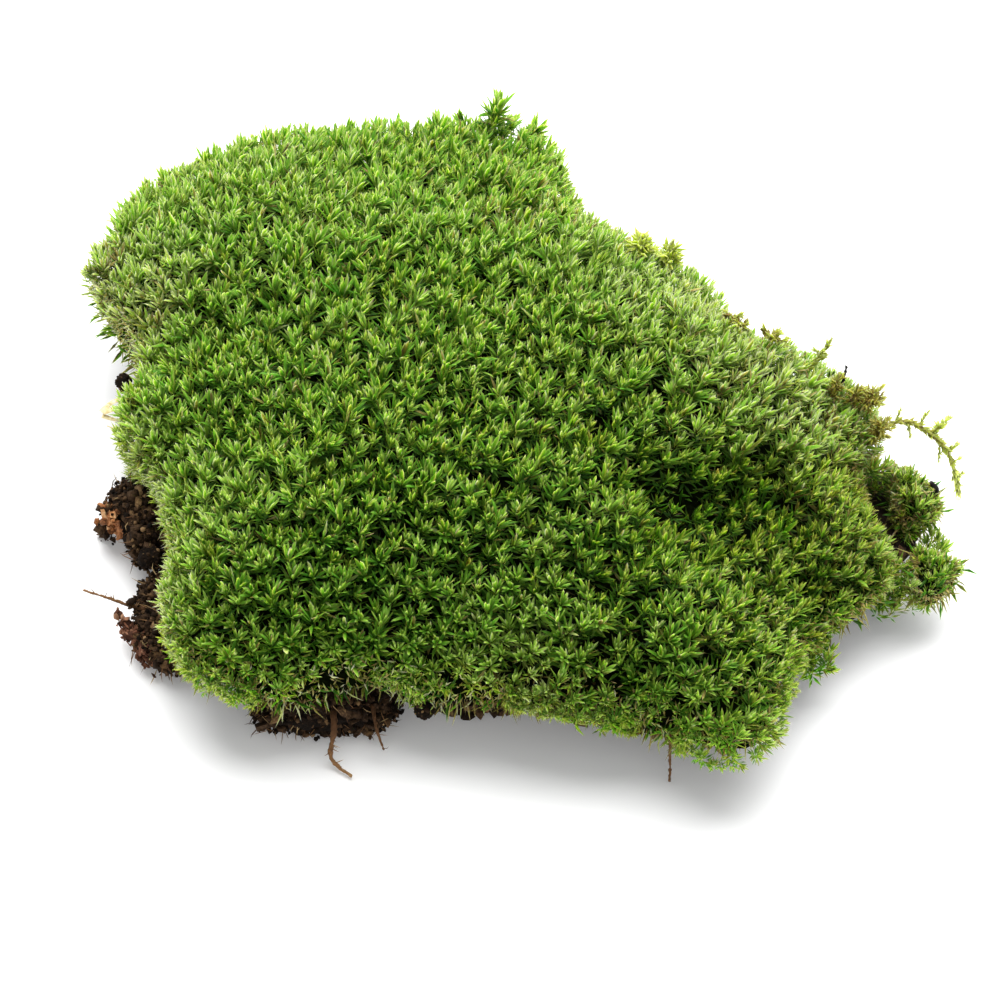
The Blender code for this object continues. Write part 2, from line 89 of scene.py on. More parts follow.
camera_data = bpy.data.cameras.new("camera")
camera_data.sensor_width = SENSOR
camera_data.lens = SENSOR * VIEW_DISTANCE / VIEW_SPAN
camera = bpy.data.objects.new("camera", camera_data)
bpy.context.scene.collection.objects.link(camera)
towards_camera = Vector((0, -math.cos(VIEW_ELEVATION), math.sin(VIEW_ELEVATION)))
camera.location = LOOKS_AT + towards_camera * VIEW_DISTANCE
camera.rotation_euler = towards_camera.to_track_quat("Z", "Y").to_euler()
bpy.context.scene.camera = camera
print("lens in mm:", round(camera_data.lens, 1))

# %% [markdown]
# The clump lies under a large soft light. The light hangs above and behind it, so the leaves'
# upper sides glow, the gaps between the shoots go dark, and a short soft shadow falls in front. A
# pale sky fills in from all sides.

# %% Light
LIGHTS = {
    "soft_box_above": ((0.08, 0.75, 1.15), 2.2, 58.0),
    "soft_box_front": ((0.25, -0.9, 0.9), 1.1, 1.5),
}
LIGHTS_AIM_AT = Vector((0, 0, 0.02))
SKY = 0.5

for name, (place, size, power) in LIGHTS.items():
    light_data = bpy.data.lights.new(name, "AREA")
    light_data.shape = "DISK"
    light_data.size = size
    light_data.energy = power
    light = bpy.data.objects.new(name, light_data)
    bpy.context.scene.collection.objects.link(light)
    light.location = place
    light.rotation_euler = (Vector(place) - LIGHTS_AIM_AT).to_track_quat("Z", "Y").to_euler()
    print(name, "has", power, "watts")

world = bpy.data.worlds.new("sky")
world.use_nodes = True
world.node_tree.nodes["Background"].inputs["Color"].default_value = (1.0, 1.0, 1.0, 1.0)
world.node_tree.nodes["Background"].inputs["Strength"].default_value = SKY
bpy.context.scene.world = world
bpy.context.scene.view_settings.view_transform = "Standard"

# %% [markdown]
# Every finish here is a network of shader nodes. They could be added one by one, but a small class
# lets the arithmetic be written as ordinary Python: `Wire` stands for one output of a node, and
# adding or multiplying wires adds Math nodes.

# %% Colours and wires
def colour(red, green, blue):
    """A linear colour from the 0-255 values of a screen."""
    linear = [((value / 255 + 0.055) / 1.055) ** 2.4 for value in (red, green, blue)]
    return (*linear, 1.0)


class Wire:
    """One output of a shader node, for arithmetic between outputs and numbers."""

    def __init__(self, finish, socket):
        self.finish = finish
        self.socket = socket

    def maths(self, operation, first, second):
        return self.finish.node("ShaderNodeMath", {"operation": operation}, {0: first, 1: second})

    def __add__(self, other):
        return self.maths("ADD", self, other)

    def __radd__(self, other):
        return self.maths("ADD", other, self)

    def __sub__(self, other):
        return self.maths("SUBTRACT", self, other)

    def __rsub__(self, other):
        return self.maths("SUBTRACT", other, self)

    def __mul__(self, other):
        return self.maths("MULTIPLY", self, other)

    def __rmul__(self, other):
        return self.maths("MULTIPLY", other, self)


print("a mid grey of the screen is", round(colour(128, 128, 128)[0], 3), "in linear light")

# %% [markdown]
# `Finish` is one material. Its `node` method makes any node from its type, its settings and what
# goes into its sockets, and the short methods under it make the few kinds that this clump needs.

# %% A finish
class Finish:
    """A material with one Principled shader, fed by a network of nodes."""

    def __init__(self, name, **constants):
        self.material = bpy.data.materials.new(name)
        self.material.use_nodes = True
        self.tree = self.material.node_tree
        self.shader = self.tree.nodes["Principled BSDF"]
        for socket, value in constants.items():
            self.shader.inputs[socket.replace("_", " ")].default_value = value

    def feed(self, socket, value):
        if isinstance(value, Wire):
            self.tree.links.new(value.socket, socket)
        else:
            socket.default_value = value

    def node(self, kind, settings=None, inputs=None, output=0):
        """Makes a node, sets it up, feeds its sockets and gives back one of its outputs."""
        made = self.tree.nodes.new(kind)
        for name, value in (settings or {}).items():
            if name == "stops":
                self.set_stops(made.color_ramp.elements, value)
            else:
                setattr(made, name, value)
        for socket, value in (inputs or {}).items():
            self.feed(made.inputs[socket], value)
        return Wire(self, made.outputs[output])

    @staticmethod
    def set_stops(elements, stops):
        while len(elements) < len(stops):
            elements.new(1.0)
        for element, (position, stop_colour) in zip(elements, stops):
            element.position = position
            element.color = stop_colour

    def ramp(self, factor, stops):
        return self.node("ShaderNodeValToRGB", {"stops": stops}, {"Fac": factor})

    def mix(self, factor, first, second, blend_type):
        settings = {"data_type": "RGBA", "blend_type": blend_type}
        return self.node("ShaderNodeMix", settings, {0: factor, 6: first, 7: second}, output=2)

    def attribute(self, name):
        return self.node("ShaderNodeAttribute", {"attribute_name": name}, output="Fac")

    def place(self):
        """Where a point is on the piece, in millimetres."""
        spot = self.node("ShaderNodeTexCoord", output="Object")
        return self.node("ShaderNodeVectorMath", {"operation": "SCALE"}, {0: spot, "Scale": 1 / MM})

    def clouds(self, size, detail, spot=None):
        """Soft noise from 0 to 1 whose patches are about `size` millimetres across."""
        inputs = {"Vector": spot or self.place(), "Scale": 1 / size, "Detail": detail}
        return self.node("ShaderNodeTexNoise", {"noise_dimensions": "3D"}, inputs)

    def wear(self, **sockets):
        """Feeds the shader itself."""
        for socket, value in sockets.items():
            self.feed(self.shader.inputs[socket.replace("_", " ")], value)
        return self


print("shorthands of a finish:", [name for name in vars(Finish) if not name.startswith("_")])

# %% [markdown]
# The floor is a plain white sheet, far larger than the picture. A faint glow lifts it to pure white
# where nothing shades it, and leaves the soft shadow in front of the clump.

# %% Floor
FLOOR_SIZE = 6.0
FLOOR_GLOW = 0.11

white_floor = Finish("white_sweep", Roughness=0.9)
white_floor.wear(Base_Color=colour(246, 246, 246), Emission_Color=(1, 1, 1, 1),
                 Emission_Strength=FLOOR_GLOW)
floor_shape = bmesh.new()
bmesh.ops.create_grid(floor_shape, x_segments=1, y_segments=1, size=FLOOR_SIZE / 2)
floor_mesh = bpy.data.meshes.new("floor")
floor_shape.to_mesh(floor_mesh)
floor_shape.free()
floor = bpy.data.objects.new("floor", floor_mesh)
floor_mesh.materials.append(white_floor.material)
bpy.context.scene.collection.objects.link(floor)
floor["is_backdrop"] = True
print("floor of", FLOOR_SIZE, "m")

# %% [markdown]
# A leaf of moss has nearly one colour all over, but no two leaves are alike. Young ones at a
# shoot's tip are fresh green, older ones at the edge of the mat turn silvery, and dead ones go buff
# and brown. Those deep in the shade look darker, and that is painted into their colour too. So each
# leaf carries two numbers. `tone` picks its colour from a row of moss colours, from dead brown to
# silver, and `light` is painted light and shade: how far out of the depth the leaf stands, so that
# a leaf deep in the mat gets a darker colour. The same two numbers are kept as a UV map too.

# %% Moss finish
MOSS_TONES = (
    (0.00, colour(70, 52, 32)),
    (0.12, colour(116, 92, 52)),
    (0.22, colour(168, 146, 90)),
    (0.32, colour(112, 118, 40)),
    (0.42, colour(68, 128, 32)),
    (0.56, colour(100, 163, 44)),
    (0.70, colour(146, 185, 68)),
    (0.84, colour(176, 191, 108)),
    (1.00, colour(214, 212, 170)),
)
# Painted shade: how much of its colour a leaf keeps, from deep in the mat, where it is darkest, to its
# top.
MOSS_PAINTED_SHADE = (
    (0.0, (0.11, 0.13, 0.08, 1.0)),
    (0.35, (0.50, 0.58, 0.42, 1.0)),
    (0.7, (0.88, 0.92, 0.80, 1.0)),
    (1.0, (0.96, 0.95, 0.96, 1.0)),
)
TONE_MAP = "OFBake"
GLOW = 0.75  # share of the light that soaks through the leaves
GLOW_RADIUS = (1.2, 1.5, 0.5)


def grain_finish(name, tones, painted_shades, roughness, shine=0.12, glow=0.0):
    """A finish whose colour comes only from each bit's tone and its painted light and shade."""
    finish = Finish(name, Specular_IOR_Level=shine, Subsurface_Weight=glow, Subsurface_Radius=GLOW_RADIUS,
                    Subsurface_Scale=1 * MM)
    tone = finish.ramp(finish.attribute("tone"), tones)
    # Painted shade: the tone's colour is darkened by each bit's light number.
    depth = finish.ramp(finish.attribute("light"), painted_shades)
    return finish.wear(Base_Color=finish.mix(1.0, tone, depth, "MULTIPLY"), Roughness=roughness)


moss = grain_finish("moss_leaves", MOSS_TONES, MOSS_PAINTED_SHADE, 0.6, glow=GLOW)
print("moss finish with", len(MOSS_TONES), "tones")

# %% [markdown]
# One leaf is a plump little blade: narrow at its foot, widest a third of the way up, and drawn out
# to a point. It starts as a three-sided ring. Its open edges are extruded from station to station,
# and the last ring is merged into the tip. Its corners are read back as three numbers, across,
# thick and along, because every leaf of the moss is this one, bent and stretched.

# %% One leaf
YOUNG_LEAF = ((0.0, 0.0), (0.34, 1.0), (0.78, 0.74), (1.0, 0.0))
OLD_LEAF = ((0.0, 0.0), (0.42, 1.0), (1.0, 0.0))
LEAF_SIDES = 3


def blade(stations):
    """Corners and triangles of a closed blade, one unit long. A station of no width is a point."""
    bm = bmesh.new()
    foot = bmesh.ops.create_circle(bm, segments=LEAF_SIDES, radius=0.5, cap_ends=True)["verts"]
    bmesh.ops.rotate(bm, verts=foot, matrix=Matrix.Rotation(math.pi / 2, 3, "Z"))
    edges = list(bm.edges)
    wide = 1.0
    for (low, _), (high, width) in zip(stations, stations[1:]):
        grown = bmesh.ops.extrude_edge_only(bm, edges=edges)["geom"]
        edges = [item for item in grown if isinstance(item, bmesh.types.BMEdge)]
        ring = [item for item in grown if isinstance(item, bmesh.types.BMVert)]
        bmesh.ops.translate(bm, verts=ring, vec=(0, 0, high - low))
        if width:
            bmesh.ops.scale(bm, verts=ring, vec=(width / wide, width / wide, 1))
            wide = width
        else:
            bmesh.ops.pointmerge(bm, verts=ring, merge_co=(0, 0, high))
    if not stations[0][1]:
        bmesh.ops.pointmerge(bm, verts=foot, merge_co=(0, 0, 0))
    bmesh.ops.triangulate(bm, faces=bm.faces)
    bmesh.ops.recalc_face_normals(bm, faces=bm.faces)
    bm.verts.index_update()
    corners = np.array([vert.co for vert in bm.verts])
    faces = np.array([[vert.index for vert in face.verts] for face in bm.faces])
    bm.free()
    return corners, faces


for stations in (YOUNG_LEAF, OLD_LEAF):
    corners, faces = blade(stations)
    print("a leaf of", len(corners), "corners and", len(faces), "triangles")

# %% [markdown]
# Every blade bends evenly along its length, away from the stem that it grows on: `out`, `side` and
# `up` are the three directions around that stem. A Simple Deform modifier could bend one blade. Here
# the arc is worked out for thousands at once, as arrays, which is far quicker.

# %% Bending many blades
LEAST_CURL = 0.02  # a blade that is straighter than this, in radians, still has an arc to divide by
GROUND = 0.15 * MM  # nothing reaches below this


def bent_blades(corners, foot, out, side, up, length, width, thick, start_angle, curl):
    """Corners of many blades, shape (blades, corners, 3). Angles are from `up`, in radians."""
    across, deep, along = corners.T
    angle = start_angle[:, None] + curl[:, None] * along
    bend = np.where(np.abs(curl) < LEAST_CURL, LEAST_CURL, curl)[:, None]
    first = start_angle[:, None]
    reach = length[:, None] * (np.cos(first) - np.cos(first + bend * along)) / bend
    rise = length[:, None] * (np.sin(first + bend * along) - np.sin(first)) / bend
    lift = thick[:, None] * deep
    reach = reach - lift * np.cos(angle)
    rise = rise + lift * np.sin(angle)
    sideways = width[:, None] * across
    points = (
        foot[:, None, :]
        + reach[..., None] * out[:, None, :]
        + sideways[..., None] * side[:, None, :]
        + rise[..., None] * up[:, None, :]
    )
    points[..., 2] = np.maximum(points[..., 2], GROUND)
    return points


x, y, z = np.eye(3)[:, None]
one, lean = np.ones(1), np.full(1, 0.5)
bent = bent_blades(blade(OLD_LEAF)[0], 0 * x, x, y, z, one, one, one, lean, lean)
print("a leaf of one unit that leans and curls reaches", bent[0].max(axis=0).round(2))

# %% [markdown]
# Hundreds of small blades become one mesh, with one object for all of them. Their corners and
# triangles are laid end to end, and each corner keeps its two numbers. Margins sharper than an
# angle stay crisp, so that light breaks on them.

# %% Many blades in one mesh
LEAF_CREASE = math.radians(80)  # edges sharper than this stay crisp, such as a leaf's two margins
FULL_LIGHT = np.ones((1, 1))  # the light of a batch with nothing in the shade


def joined_mesh(name, batches):
    """One smooth mesh of many blades, with their two numbers as attributes and as a map.

    A batch is the corners of equal blades, their triangles, and each corner's tone and light.
    """
    places, triangles, tones, lights = [], [], [], []
    start = 0
    for points, faces, tone, light in batches:
        blades, corners = points.shape[:2]
        first = start + np.arange(blades) * corners
        triangles.append((faces[None] + first[:, None, None]).reshape(-1, 3))
        places.append(points.reshape(-1, 3))
        tones.append(np.broadcast_to(tone, (blades, corners)).ravel())
        lights.append(np.broadcast_to(light, (blades, corners)).ravel())
        start += blades * corners
    triangles = np.concatenate(triangles).astype(np.int32)
    numbers = {"tone": np.concatenate(tones), "light": np.concatenate(lights)}
    mesh = bpy.data.meshes.new(name)
    mesh.vertices.add(start)
    mesh.vertices.foreach_set("co", np.concatenate(places).astype(np.float32).ravel())
    mesh.loops.add(triangles.size)
    mesh.loops.foreach_set("vertex_index", triangles.ravel())
    mesh.polygons.add(len(triangles))
    mesh.polygons.foreach_set("loop_start", np.arange(0, triangles.size, 3, dtype=np.int32))
    mesh.update(calc_edges=True)
    mesh.shade_smooth()
    mesh.set_sharp_from_angle(angle=LEAF_CREASE)
    for number, values in numbers.items():
        layer = mesh.attributes.new(number, "FLOAT", "POINT")
        layer.data.foreach_set("value", values.astype(np.float32))
    pairs = np.stack([numbers["tone"], numbers["light"]], axis=1)[triangles.ravel()]
    mesh.uv_layers.new(name=TONE_MAP).uv.foreach_set("vector", pairs.astype(np.float32).ravel())
    return mesh


print("margins stay sharp from", round(math.degrees(LEAF_CREASE)), "degrees")

# %% [markdown] Each finished mesh becomes one piece of the clump. The clump has no moving parts,
# so every piece rides on its root.

# %% Putting a piece in the scene
def add_piece(name, mesh, finish, slot, *nodes):
    """Puts a finished mesh in the scene, riding on the clump and standing for its CAD nodes."""
    piece = bpy.data.objects.new(name, mesh)
    mesh.materials.append(finish.material)
    bpy.context.scene.collection.objects.link(piece)
    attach(piece, "root")
    if nodes:
        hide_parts(*nodes)
    print(name, "has", len(mesh.polygons), "faces")
    return piece


def add_blades(name, batches, finish, slot, *nodes):
    return add_piece(name, joined_mesh(name, batches), finish, slot, *nodes)


print("CAD solids to dress:", len(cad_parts))

# %% [markdown]
# The moss solids in the CAD model are faceted, with a point for each small tuft. The shoots have to
# grow from a soft skin under those points. A copy of the solid is welded, because the packed mesh
# is loose triangles, and then relaxed by moving each corner towards its neighbours.

# %% The skin that the shoots grow on
MOSS_NODES = ("moss_cushion", "moss_tuft_upper", "moss_tuft_lower")
SOFTENING = {"moss_cushion": 8, "moss_tuft_upper": 4, "moss_tuft_lower": 4}
WELD = 0.01 * MM


def unit(vectors):
    return vectors / np.linalg.norm(vectors, axis=1, keepdims=True)


def welded(node):
    """A copy of a CAD solid with its loose triangles joined."""
    bm = bmesh.new()
    bm.from_mesh(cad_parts[node].data)
    bmesh.ops.remove_doubles(bm, verts=bm.verts, dist=WELD)
    return bm


def soften(bm, rounds):
    for _ in range(rounds):
        bmesh.ops.smooth_vert(bm, verts=bm.verts, factor=0.5, use_axis_x=True, use_axis_y=True,
                              use_axis_z=True)
    return [vert.co.copy() for vert in bm.verts]


def relaxed(bm, rounds):
    """Softens the facets, then gives back the broad shape that softening alone would shrink."""
    before = [vert.co.copy() for vert in bm.verts]
    after = soften(bm, rounds)
    for vert, was, now in zip(bm.verts, before, after):
        vert.co = was - now
    lost = soften(bm, rounds)
    for vert, now, shrunk in zip(bm.verts, after, lost):
        vert.co = now + shrunk
    bm.normal_update()
    return bm


def arrays_of(bm):
    """Places, normals and triangles of a bmesh, as arrays."""
    bmesh.ops.triangulate(bm, faces=bm.faces)
    bm.verts.index_update()
    places = np.array([vert.co for vert in bm.verts])
    normals = np.array([vert.normal for vert in bm.verts])
    triangles = np.array([[vert.index for vert in face.verts] for face in bm.faces])
    return places, normals, triangles


def shape_of(bm):
    """Corners and triangles of a bmesh, which is then done with."""
    corners, _, faces = arrays_of(bm)
    bm.free()
    return corners, faces


def middle_of(bm):
    return sum((vert.co for vert in bm.verts), Vector()) / len(bm.verts)


print("moss solids and how often each is softened:", SOFTENING)

# %% [markdown]
# Shoots, stems and grains all stand close but never on top of each other. Random spots are thrown
# on a skin, and each is kept only if no spot that was kept before is too near. A scatter in
# Geometry Nodes could do it too. A table of small cells keeps this check quick.

# %% Random spots, evenly spaced
def areas(corners):
    """Twice the area of each triangle, which serves as well as the area for shares of the whole."""
    return np.linalg.norm(np.cross(corners[:, 1] - corners[:, 0], corners[:, 2] - corners[:, 0]), axis=1)


def spots_on(places, normals, triangles, count, rng):
    """Random spots on a surface, evenly spread over its area, with their normals."""
    corners = places[triangles]
    area = areas(corners)
    chosen = rng.choice(len(triangles), count, p=area / area.sum())
    share = rng.random((count, 2))
    share[share.sum(axis=1) > 1] = 1 - share[share.sum(axis=1) > 1]
    weights = np.column_stack([1 - share.sum(axis=1), share])
    spots = np.einsum("ij,ijk->ik", weights, corners[chosen])
    facing = np.einsum("ij,ijk->ik", weights, normals[triangles[chosen]])
    return spots, unit(facing)


def spaced(spots, gaps):
    """Which spots to keep so that no two are nearer than the gap there."""
    widest = gaps.max()
    cells = {}
    kept = []
    around = [(x, y, z) for x in (-1, 0, 1) for y in (-1, 0, 1) for z in (-1, 0, 1)]
    for index, (spot, gap) in enumerate(zip(spots, gaps)):
        cell = tuple(int(value // widest) for value in spot)
        near = [other for step in around for other in cells.get(tuple(map(sum, zip(cell, step))), ())]
        if all(math.dist(spot, spots[other]) >= gap for other in near):
            cells.setdefault(cell, []).append(index)
            kept.append(index)
    return np.array(kept)


def thinned(spots, gap):
    """Which spots to keep so that no two are nearer than one gap, in mm."""
    return spaced(spots, np.full(len(spots), gap * MM))


line = np.outer((1, 2, 4), (MM, 0, 0))
print("of three spots 1, 2 and 4 mm along a line,", len(thinned(line, 1.5)), "are kept")

# %% [markdown]
# The shoots stand on the skin's upper side and round its rim. Real ones are small and crowded at
# the rim and the right end, and larger towards the back. The underside bears none, and a few parts
# of the rim are bare, with dead stems only.

# %% Where the shoots stand
SHOOT_SEED = 11
SHOOT_GAPS = ((-90, 90), (2.8, 3.45))  # in mm, from the front of the clump to its back
TUFT_GAP = 0.95  # shoots of the side tufts stand closer, by this factor
RIGHT_SIZE = ((35, 80), (1.0, 0.86))  # shoots are smaller towards the right end
RIM_SIZE = ((0.05, 0.7), (0.56, 1.0))  # shoots are smaller where the skin faces sideways
# Parts of the rim where only dead stems show: (x, y, reach, strength), in mm but for the last.
BARE_SPOTS = ((-91, 24, 6, 1), (-80, -59, 7, 1), (-44, -78, 15, 1), (-12, -83, 11, 1), (27, -90, 7, 1))
BARE_FACING = 0.52  # shoots there only where the normal points up by more than this
LEAST_RISE = -0.25  # and elsewhere by more than this
TRIES = 14  # random spots thrown for each one that fits
RISE_FACING = (0.1, 0.8)
# How far tips stand off the soft skin, in mm, where it faces sideways and where it faces up.
TIP_RISE = {"moss_cushion": (-0.6, 1.3), "moss_tuft_upper": (-0.6, 0.6), "moss_tuft_lower": (-0.6, 0.6)}


def painted(spots, tips):
    """The sum of soft round spots, at each of many places."""
    total = np.zeros(len(tips))
    for x, y, reach, strength in spots:
        away = np.hypot(tips[:, 0] - x * MM, tips[:, 1] - y * MM) / (reach * MM)
        total += strength * np.exp(-(away**2))
    return total


def shoot_spots(node, rng):
    skin = arrays_of(relaxed(welded(node), SOFTENING[node]))
    area = areas(skin[0][skin[2]])
    closeness = 1 if node == "moss_cushion" else TUFT_GAP
    least = SHOOT_GAPS[1][0] * closeness * MM
    spots, facing = spots_on(*skin, int(area.sum() / least**2 * TRIES), rng)
    upper = facing[:, 2] > np.where(painted(BARE_SPOTS, spots) > 0.5, BARE_FACING, LEAST_RISE)
    spots, facing = spots[upper], facing[upper]
    rim = np.interp(facing[:, 2], *RIM_SIZE)
    right = np.interp(spots[:, 0] / MM, *RIGHT_SIZE)
    kept = spaced(spots, np.interp(spots[:, 1] / MM, *SHOOT_GAPS) * closeness * rim * right * MM)
    rise = np.interp(facing[kept, 2], RISE_FACING, TIP_RISE[node]) * MM
    return spots[kept] + facing[kept] * rise[:, None], facing[kept]


rng = np.random.default_rng(SHOOT_SEED)
found = [shoot_spots(node, rng) for node in MOSS_NODES]
shoot_tips = np.concatenate([spots for spots, _ in found])
shoot_facing = np.concatenate([facing for _, facing in found])
print("shoots:", [len(spots) for spots, _ in found])

# %% [markdown]
# Moss grows towards the light. A shoot at the side of the mat leaves it sideways, but soon turns up,
# and all of them lean a little the same way. So each shoot points between the normal of the skin and
# straight up, with some stray. Its leaves also need two directions across it, turned at random.

# %% Which way the shoots point
UPRIGHT = 1.1  # how much the shoots turn from the skin's normal to straight up
STRAY = 0.2
LEAN = np.array([0.2, 0.1, 0.0])


def random_sides(up, rng):
    """Two directions across each given one, turned at random."""
    first = unit(np.cross(up, rng.normal(0, 1, up.shape)))
    return first, np.cross(up, first)


def shoot_frames(facing, rng):
    """Each shoot's own three directions: along its stem, and two across it."""
    up = unit(facing + np.array([0, 0, UPRIGHT]))
    up = unit(up + rng.normal(0, STRAY, up.shape) + LEAN)
    return (up, *random_sides(up, rng))


steep_side = np.array([[1.0, 0.0, 0.0]])
sample = shoot_frames(steep_side, np.random.default_rng(0))[0]
print("on a steep side, one shoot points to", sample[0].round(2))

# %% [markdown]
# A shoot is a short upright stem with leaves all round it, set in a spiral like the scales of a
# cone. The youngest leaves stand nearly upright and close the tip. The next ones open out into a
# star, and the lowest spread wide between the neighbours, with painted shade that makes them dark.
# One shoot could be modelled and copied, but then all would look alike, so each leaf gets its own
# size, turn and bend.

# %% Leaves of the shoots
GOLDEN_ANGLE = math.radians(137.5)
CEILING = 54.7 * MM  # no leaf stands above this
# For each set: one leaf, how many, and from the top of the set to its bottom: length in mm, degrees
# from the stem, foot below the tip in mm, and light, which is painted shade that darkens lower leaves.
LEAF_SETS = {
    "young": (YOUNG_LEAF, 13, (2.8, 4.1), (3, 31), (-2.2, -3.4), (1.0, 0.85)),
    "old": (OLD_LEAF, 18, (3.9, 3.6), (29, 84), (-3.0, -7.2), (0.62, 0.06)),
}
LEAF_WIDTH = 0.82
LEAF_THICK = 0.28  # beside its width
LEAF_SIZES = 0.16  # spread of the leaves' sizes
LEAF_SPREAD = 9.0  # degrees that they stray from their place in the star
TURN_SPREAD = 0.25
LEAF_CURL = (0.1, 0.25)
STEM_RADIUS = 0.25
TONE_SPREAD = 0.045
TIP_TONE = 0.05  # tips are a little paler than feet
DEAD_TONES = (0.06, 0.34)
PALE_SHARE = 0.015  # share of the leaves that are silvery anywhere on the mat
PALE_TONES = (0.7, 0.86)
HANGING_CUT = 0.5  # leaves that would hang down are shorter, by up to this share
# Painted shade: a leaf's foot gets a darker colour than its tip.
LEAF_FOOT_PAINTED_LIGHT = 0.4  # a leaf's foot is darker than its tip


def between(ends, share):
    """The value that lies a share of the way from one end to the other."""
    return ends[0] + (ends[1] - ends[0]) * share


def some_changed(tone, share, others, rng):
    """The tones, with a random share of them taken from another range."""
    return np.where(rng.random(tone.shape) < share, rng.uniform(*others, tone.shape), tone)


def leaf_batch(leaf_set, shoots, frames, rng):
    """All the leaves of one set on many shoots, as one batch of blades."""
    stations, count, lengths, angles, feet, lights = leaf_set
    tips, size, tone, openness = (shoots[name] for name in ("tips", "size", "tone", "openness"))
    corners, faces = blade(stations)
    shape = (len(tips), count)
    up, first, second = frames
    share = (np.arange(count) + rng.uniform(0, 1, shape)) / count
    turn = GOLDEN_ANGLE * np.arange(count) + rng.normal(0, TURN_SPREAD, shape)
    out = np.cos(turn)[..., None] * first[:, None] + np.sin(turn)[..., None] * second[:, None]
    spine = np.broadcast_to(up[:, None], out.shape)
    side = np.cross(spine, out)
    scale = size[:, None] * rng.normal(1, LEAF_SIZES, shape)
    length = between(lengths, share) * scale * MM
    width = LEAF_WIDTH * scale * MM
    angle = between(angles, share) * openness[:, None]
    angle = np.radians(angle + rng.normal(0, LEAF_SPREAD, shape))
    curl = rng.normal(*LEAF_CURL, shape)
    downward = -np.minimum(0, np.cos(angle) * spine[..., 2] + np.sin(angle) * out[..., 2])
    length = length * (1 - HANGING_CUT * downward)
    depth = between(feet, share) * size[:, None]
    foot = tips[:, None] + (depth[..., None] * spine + STEM_RADIUS * out) * MM
    directions = [array.reshape(-1, 3) for array in (foot, out, side, spine)]
    numbers = [array.ravel() for array in (length, width, width * LEAF_THICK, angle, curl)]
    points = bent_blades(corners, *directions, *numbers)
    points[..., 2] = np.minimum(points[..., 2], CEILING)
    tone = tone[:, None] + rng.normal(0, TONE_SPREAD, shape)
    tone = some_changed(tone, shoots["brown"][:, None], DEAD_TONES, rng)
    tone = some_changed(tone, PALE_SHARE, PALE_TONES, rng)
    # Painted shade: lower leaves, old leaves towards the front and leaves of shaded shoots get a darker
    # colour.
    glow = between(lights, share)
    glow = glow * (shoots["under"][:, None] * (1 - glow) + glow) * shoots["light"][:, None]
    light = np.clip(glow.reshape(-1, 1) * between((LEAF_FOOT_PAINTED_LIGHT, 1), corners[:, 2]), 0, 1)
    return points, faces, np.clip(tone.reshape(-1, 1) + TIP_TONE * corners[:, 2], 0, 1), light


print("leaves on a shoot:", sum(count for _, count, *_ in LEAF_SETS.values()))

# %% [markdown]
# The mat is not one even green. Broad soft patches differ a little, the left edge is silvery with
# older leaves, and the right end has dead brown leaves among the green ones. Some tone spots are
# painted light, paler where the mat is to look more brightly lit, and the dim spots are painted
# shade, or painted light where their strength is negative. A few hollows, where shoots have sunk or
# gone, get painted shade. All of these are painted as soft round spots: a place on the clump, a
# reach, and how strong the change is in the middle.

# %% Colours over the mat
BASE_TONE = 0.52
SILVER_EDGE = (0.3, 0.9, 0.1)  # where leftward normals start and finish it, and its strength
TONE_WAVE = (28.0, 0.04)  # size in mm of the broad waves of tone, and their strength
TONE_STRAY = 0.03
# Spots are (x, y, reach, strength), in millimetres but for the last.
# Tone spots: some give real colour, such as silver at the left edge, and some are painted light that makes
# parts of the mat paler.
TONE_AND_PAINTED_LIGHT_SPOTS = (
    (-81.5, -60, 4.5, 0.24), (-85, -14, 5, 0.12), (-83.5, -28, 4.5, 0.2), (-83, -42, 4, 0.18),
    (-86, 22, 9, 0.1), (-96, 40, 8, 0.1), (-4.5, -80, 14, 0.12), (58, -2, 22, 0.19),
    (27, 30, 24, 0.12), (-60, 60, 30, 0.04), (-88, 32, 22, 0.1), (43, 24, 7, 0.14),
    (90, -22, 8, 0.1), (92, -45, 9, 0.1), (64, -45, 22, 0.04),
)
BROWN_BASE = 0.035  # share of the leaves that are brown anywhere on the mat
BROWN_SPOTS = (
    (64, -8, 22, 0.14), (78, -12, 12, 0.2), (75, -45, 18, 0.12), (88, -37, 4, 0.5), (12, 59, 9, 0.35),
    (-1, 41, 6, 0.5), (50, -62, 22, 0.12), (-86, 20, 8, 0.3), (-97, 42, 4, 0.6), (45, 8, 16, 0.12),
    (80.5, -22, 6, 0.7),
)
HOLLOW_DEPTH = 4.0 * MM
# Painted shade: leaves in a hollow get a darker colour, by this share in its middle.
HOLLOW_PAINTED_SHADE = 0.72
HOLLOWS = (
    (26, -38, 5, 0.9), (31, -40, 4.5, 0.9), (37, -38, 4.5, 0.9), (41, -40, 4, 0.8),
    (35, -45.5, 4, 0.5), (46, -33, 5, 1.0), (54, -26, 4, 0.9), (55, -33, 5, 0.9),
    (48.5, -44, 5, 0.8), (38, -52, 5, 0.6), (18, -61, 4, 0.7), (33, -44, 4, 0.7),
    (20, -67, 4, 0.6), (51, -58, 4, 0.6), (64, -52, 4, 0.7), (59, -39, 5, 0.8), (0, 41, 3.5, 0.8),
    (22, -79, 5, 0.7), (24, -60, 5, 0.5), (-14, -22, 5, 0.4), (-40, -38, 6, 0.3), (72, -22, 5, 0.7),
    (64, -60, 5, 0.5), (80.5, -18, 4, 1.0), (80.5, -26, 4, 1.0), (88.5, -37, 3, 0.9),
)
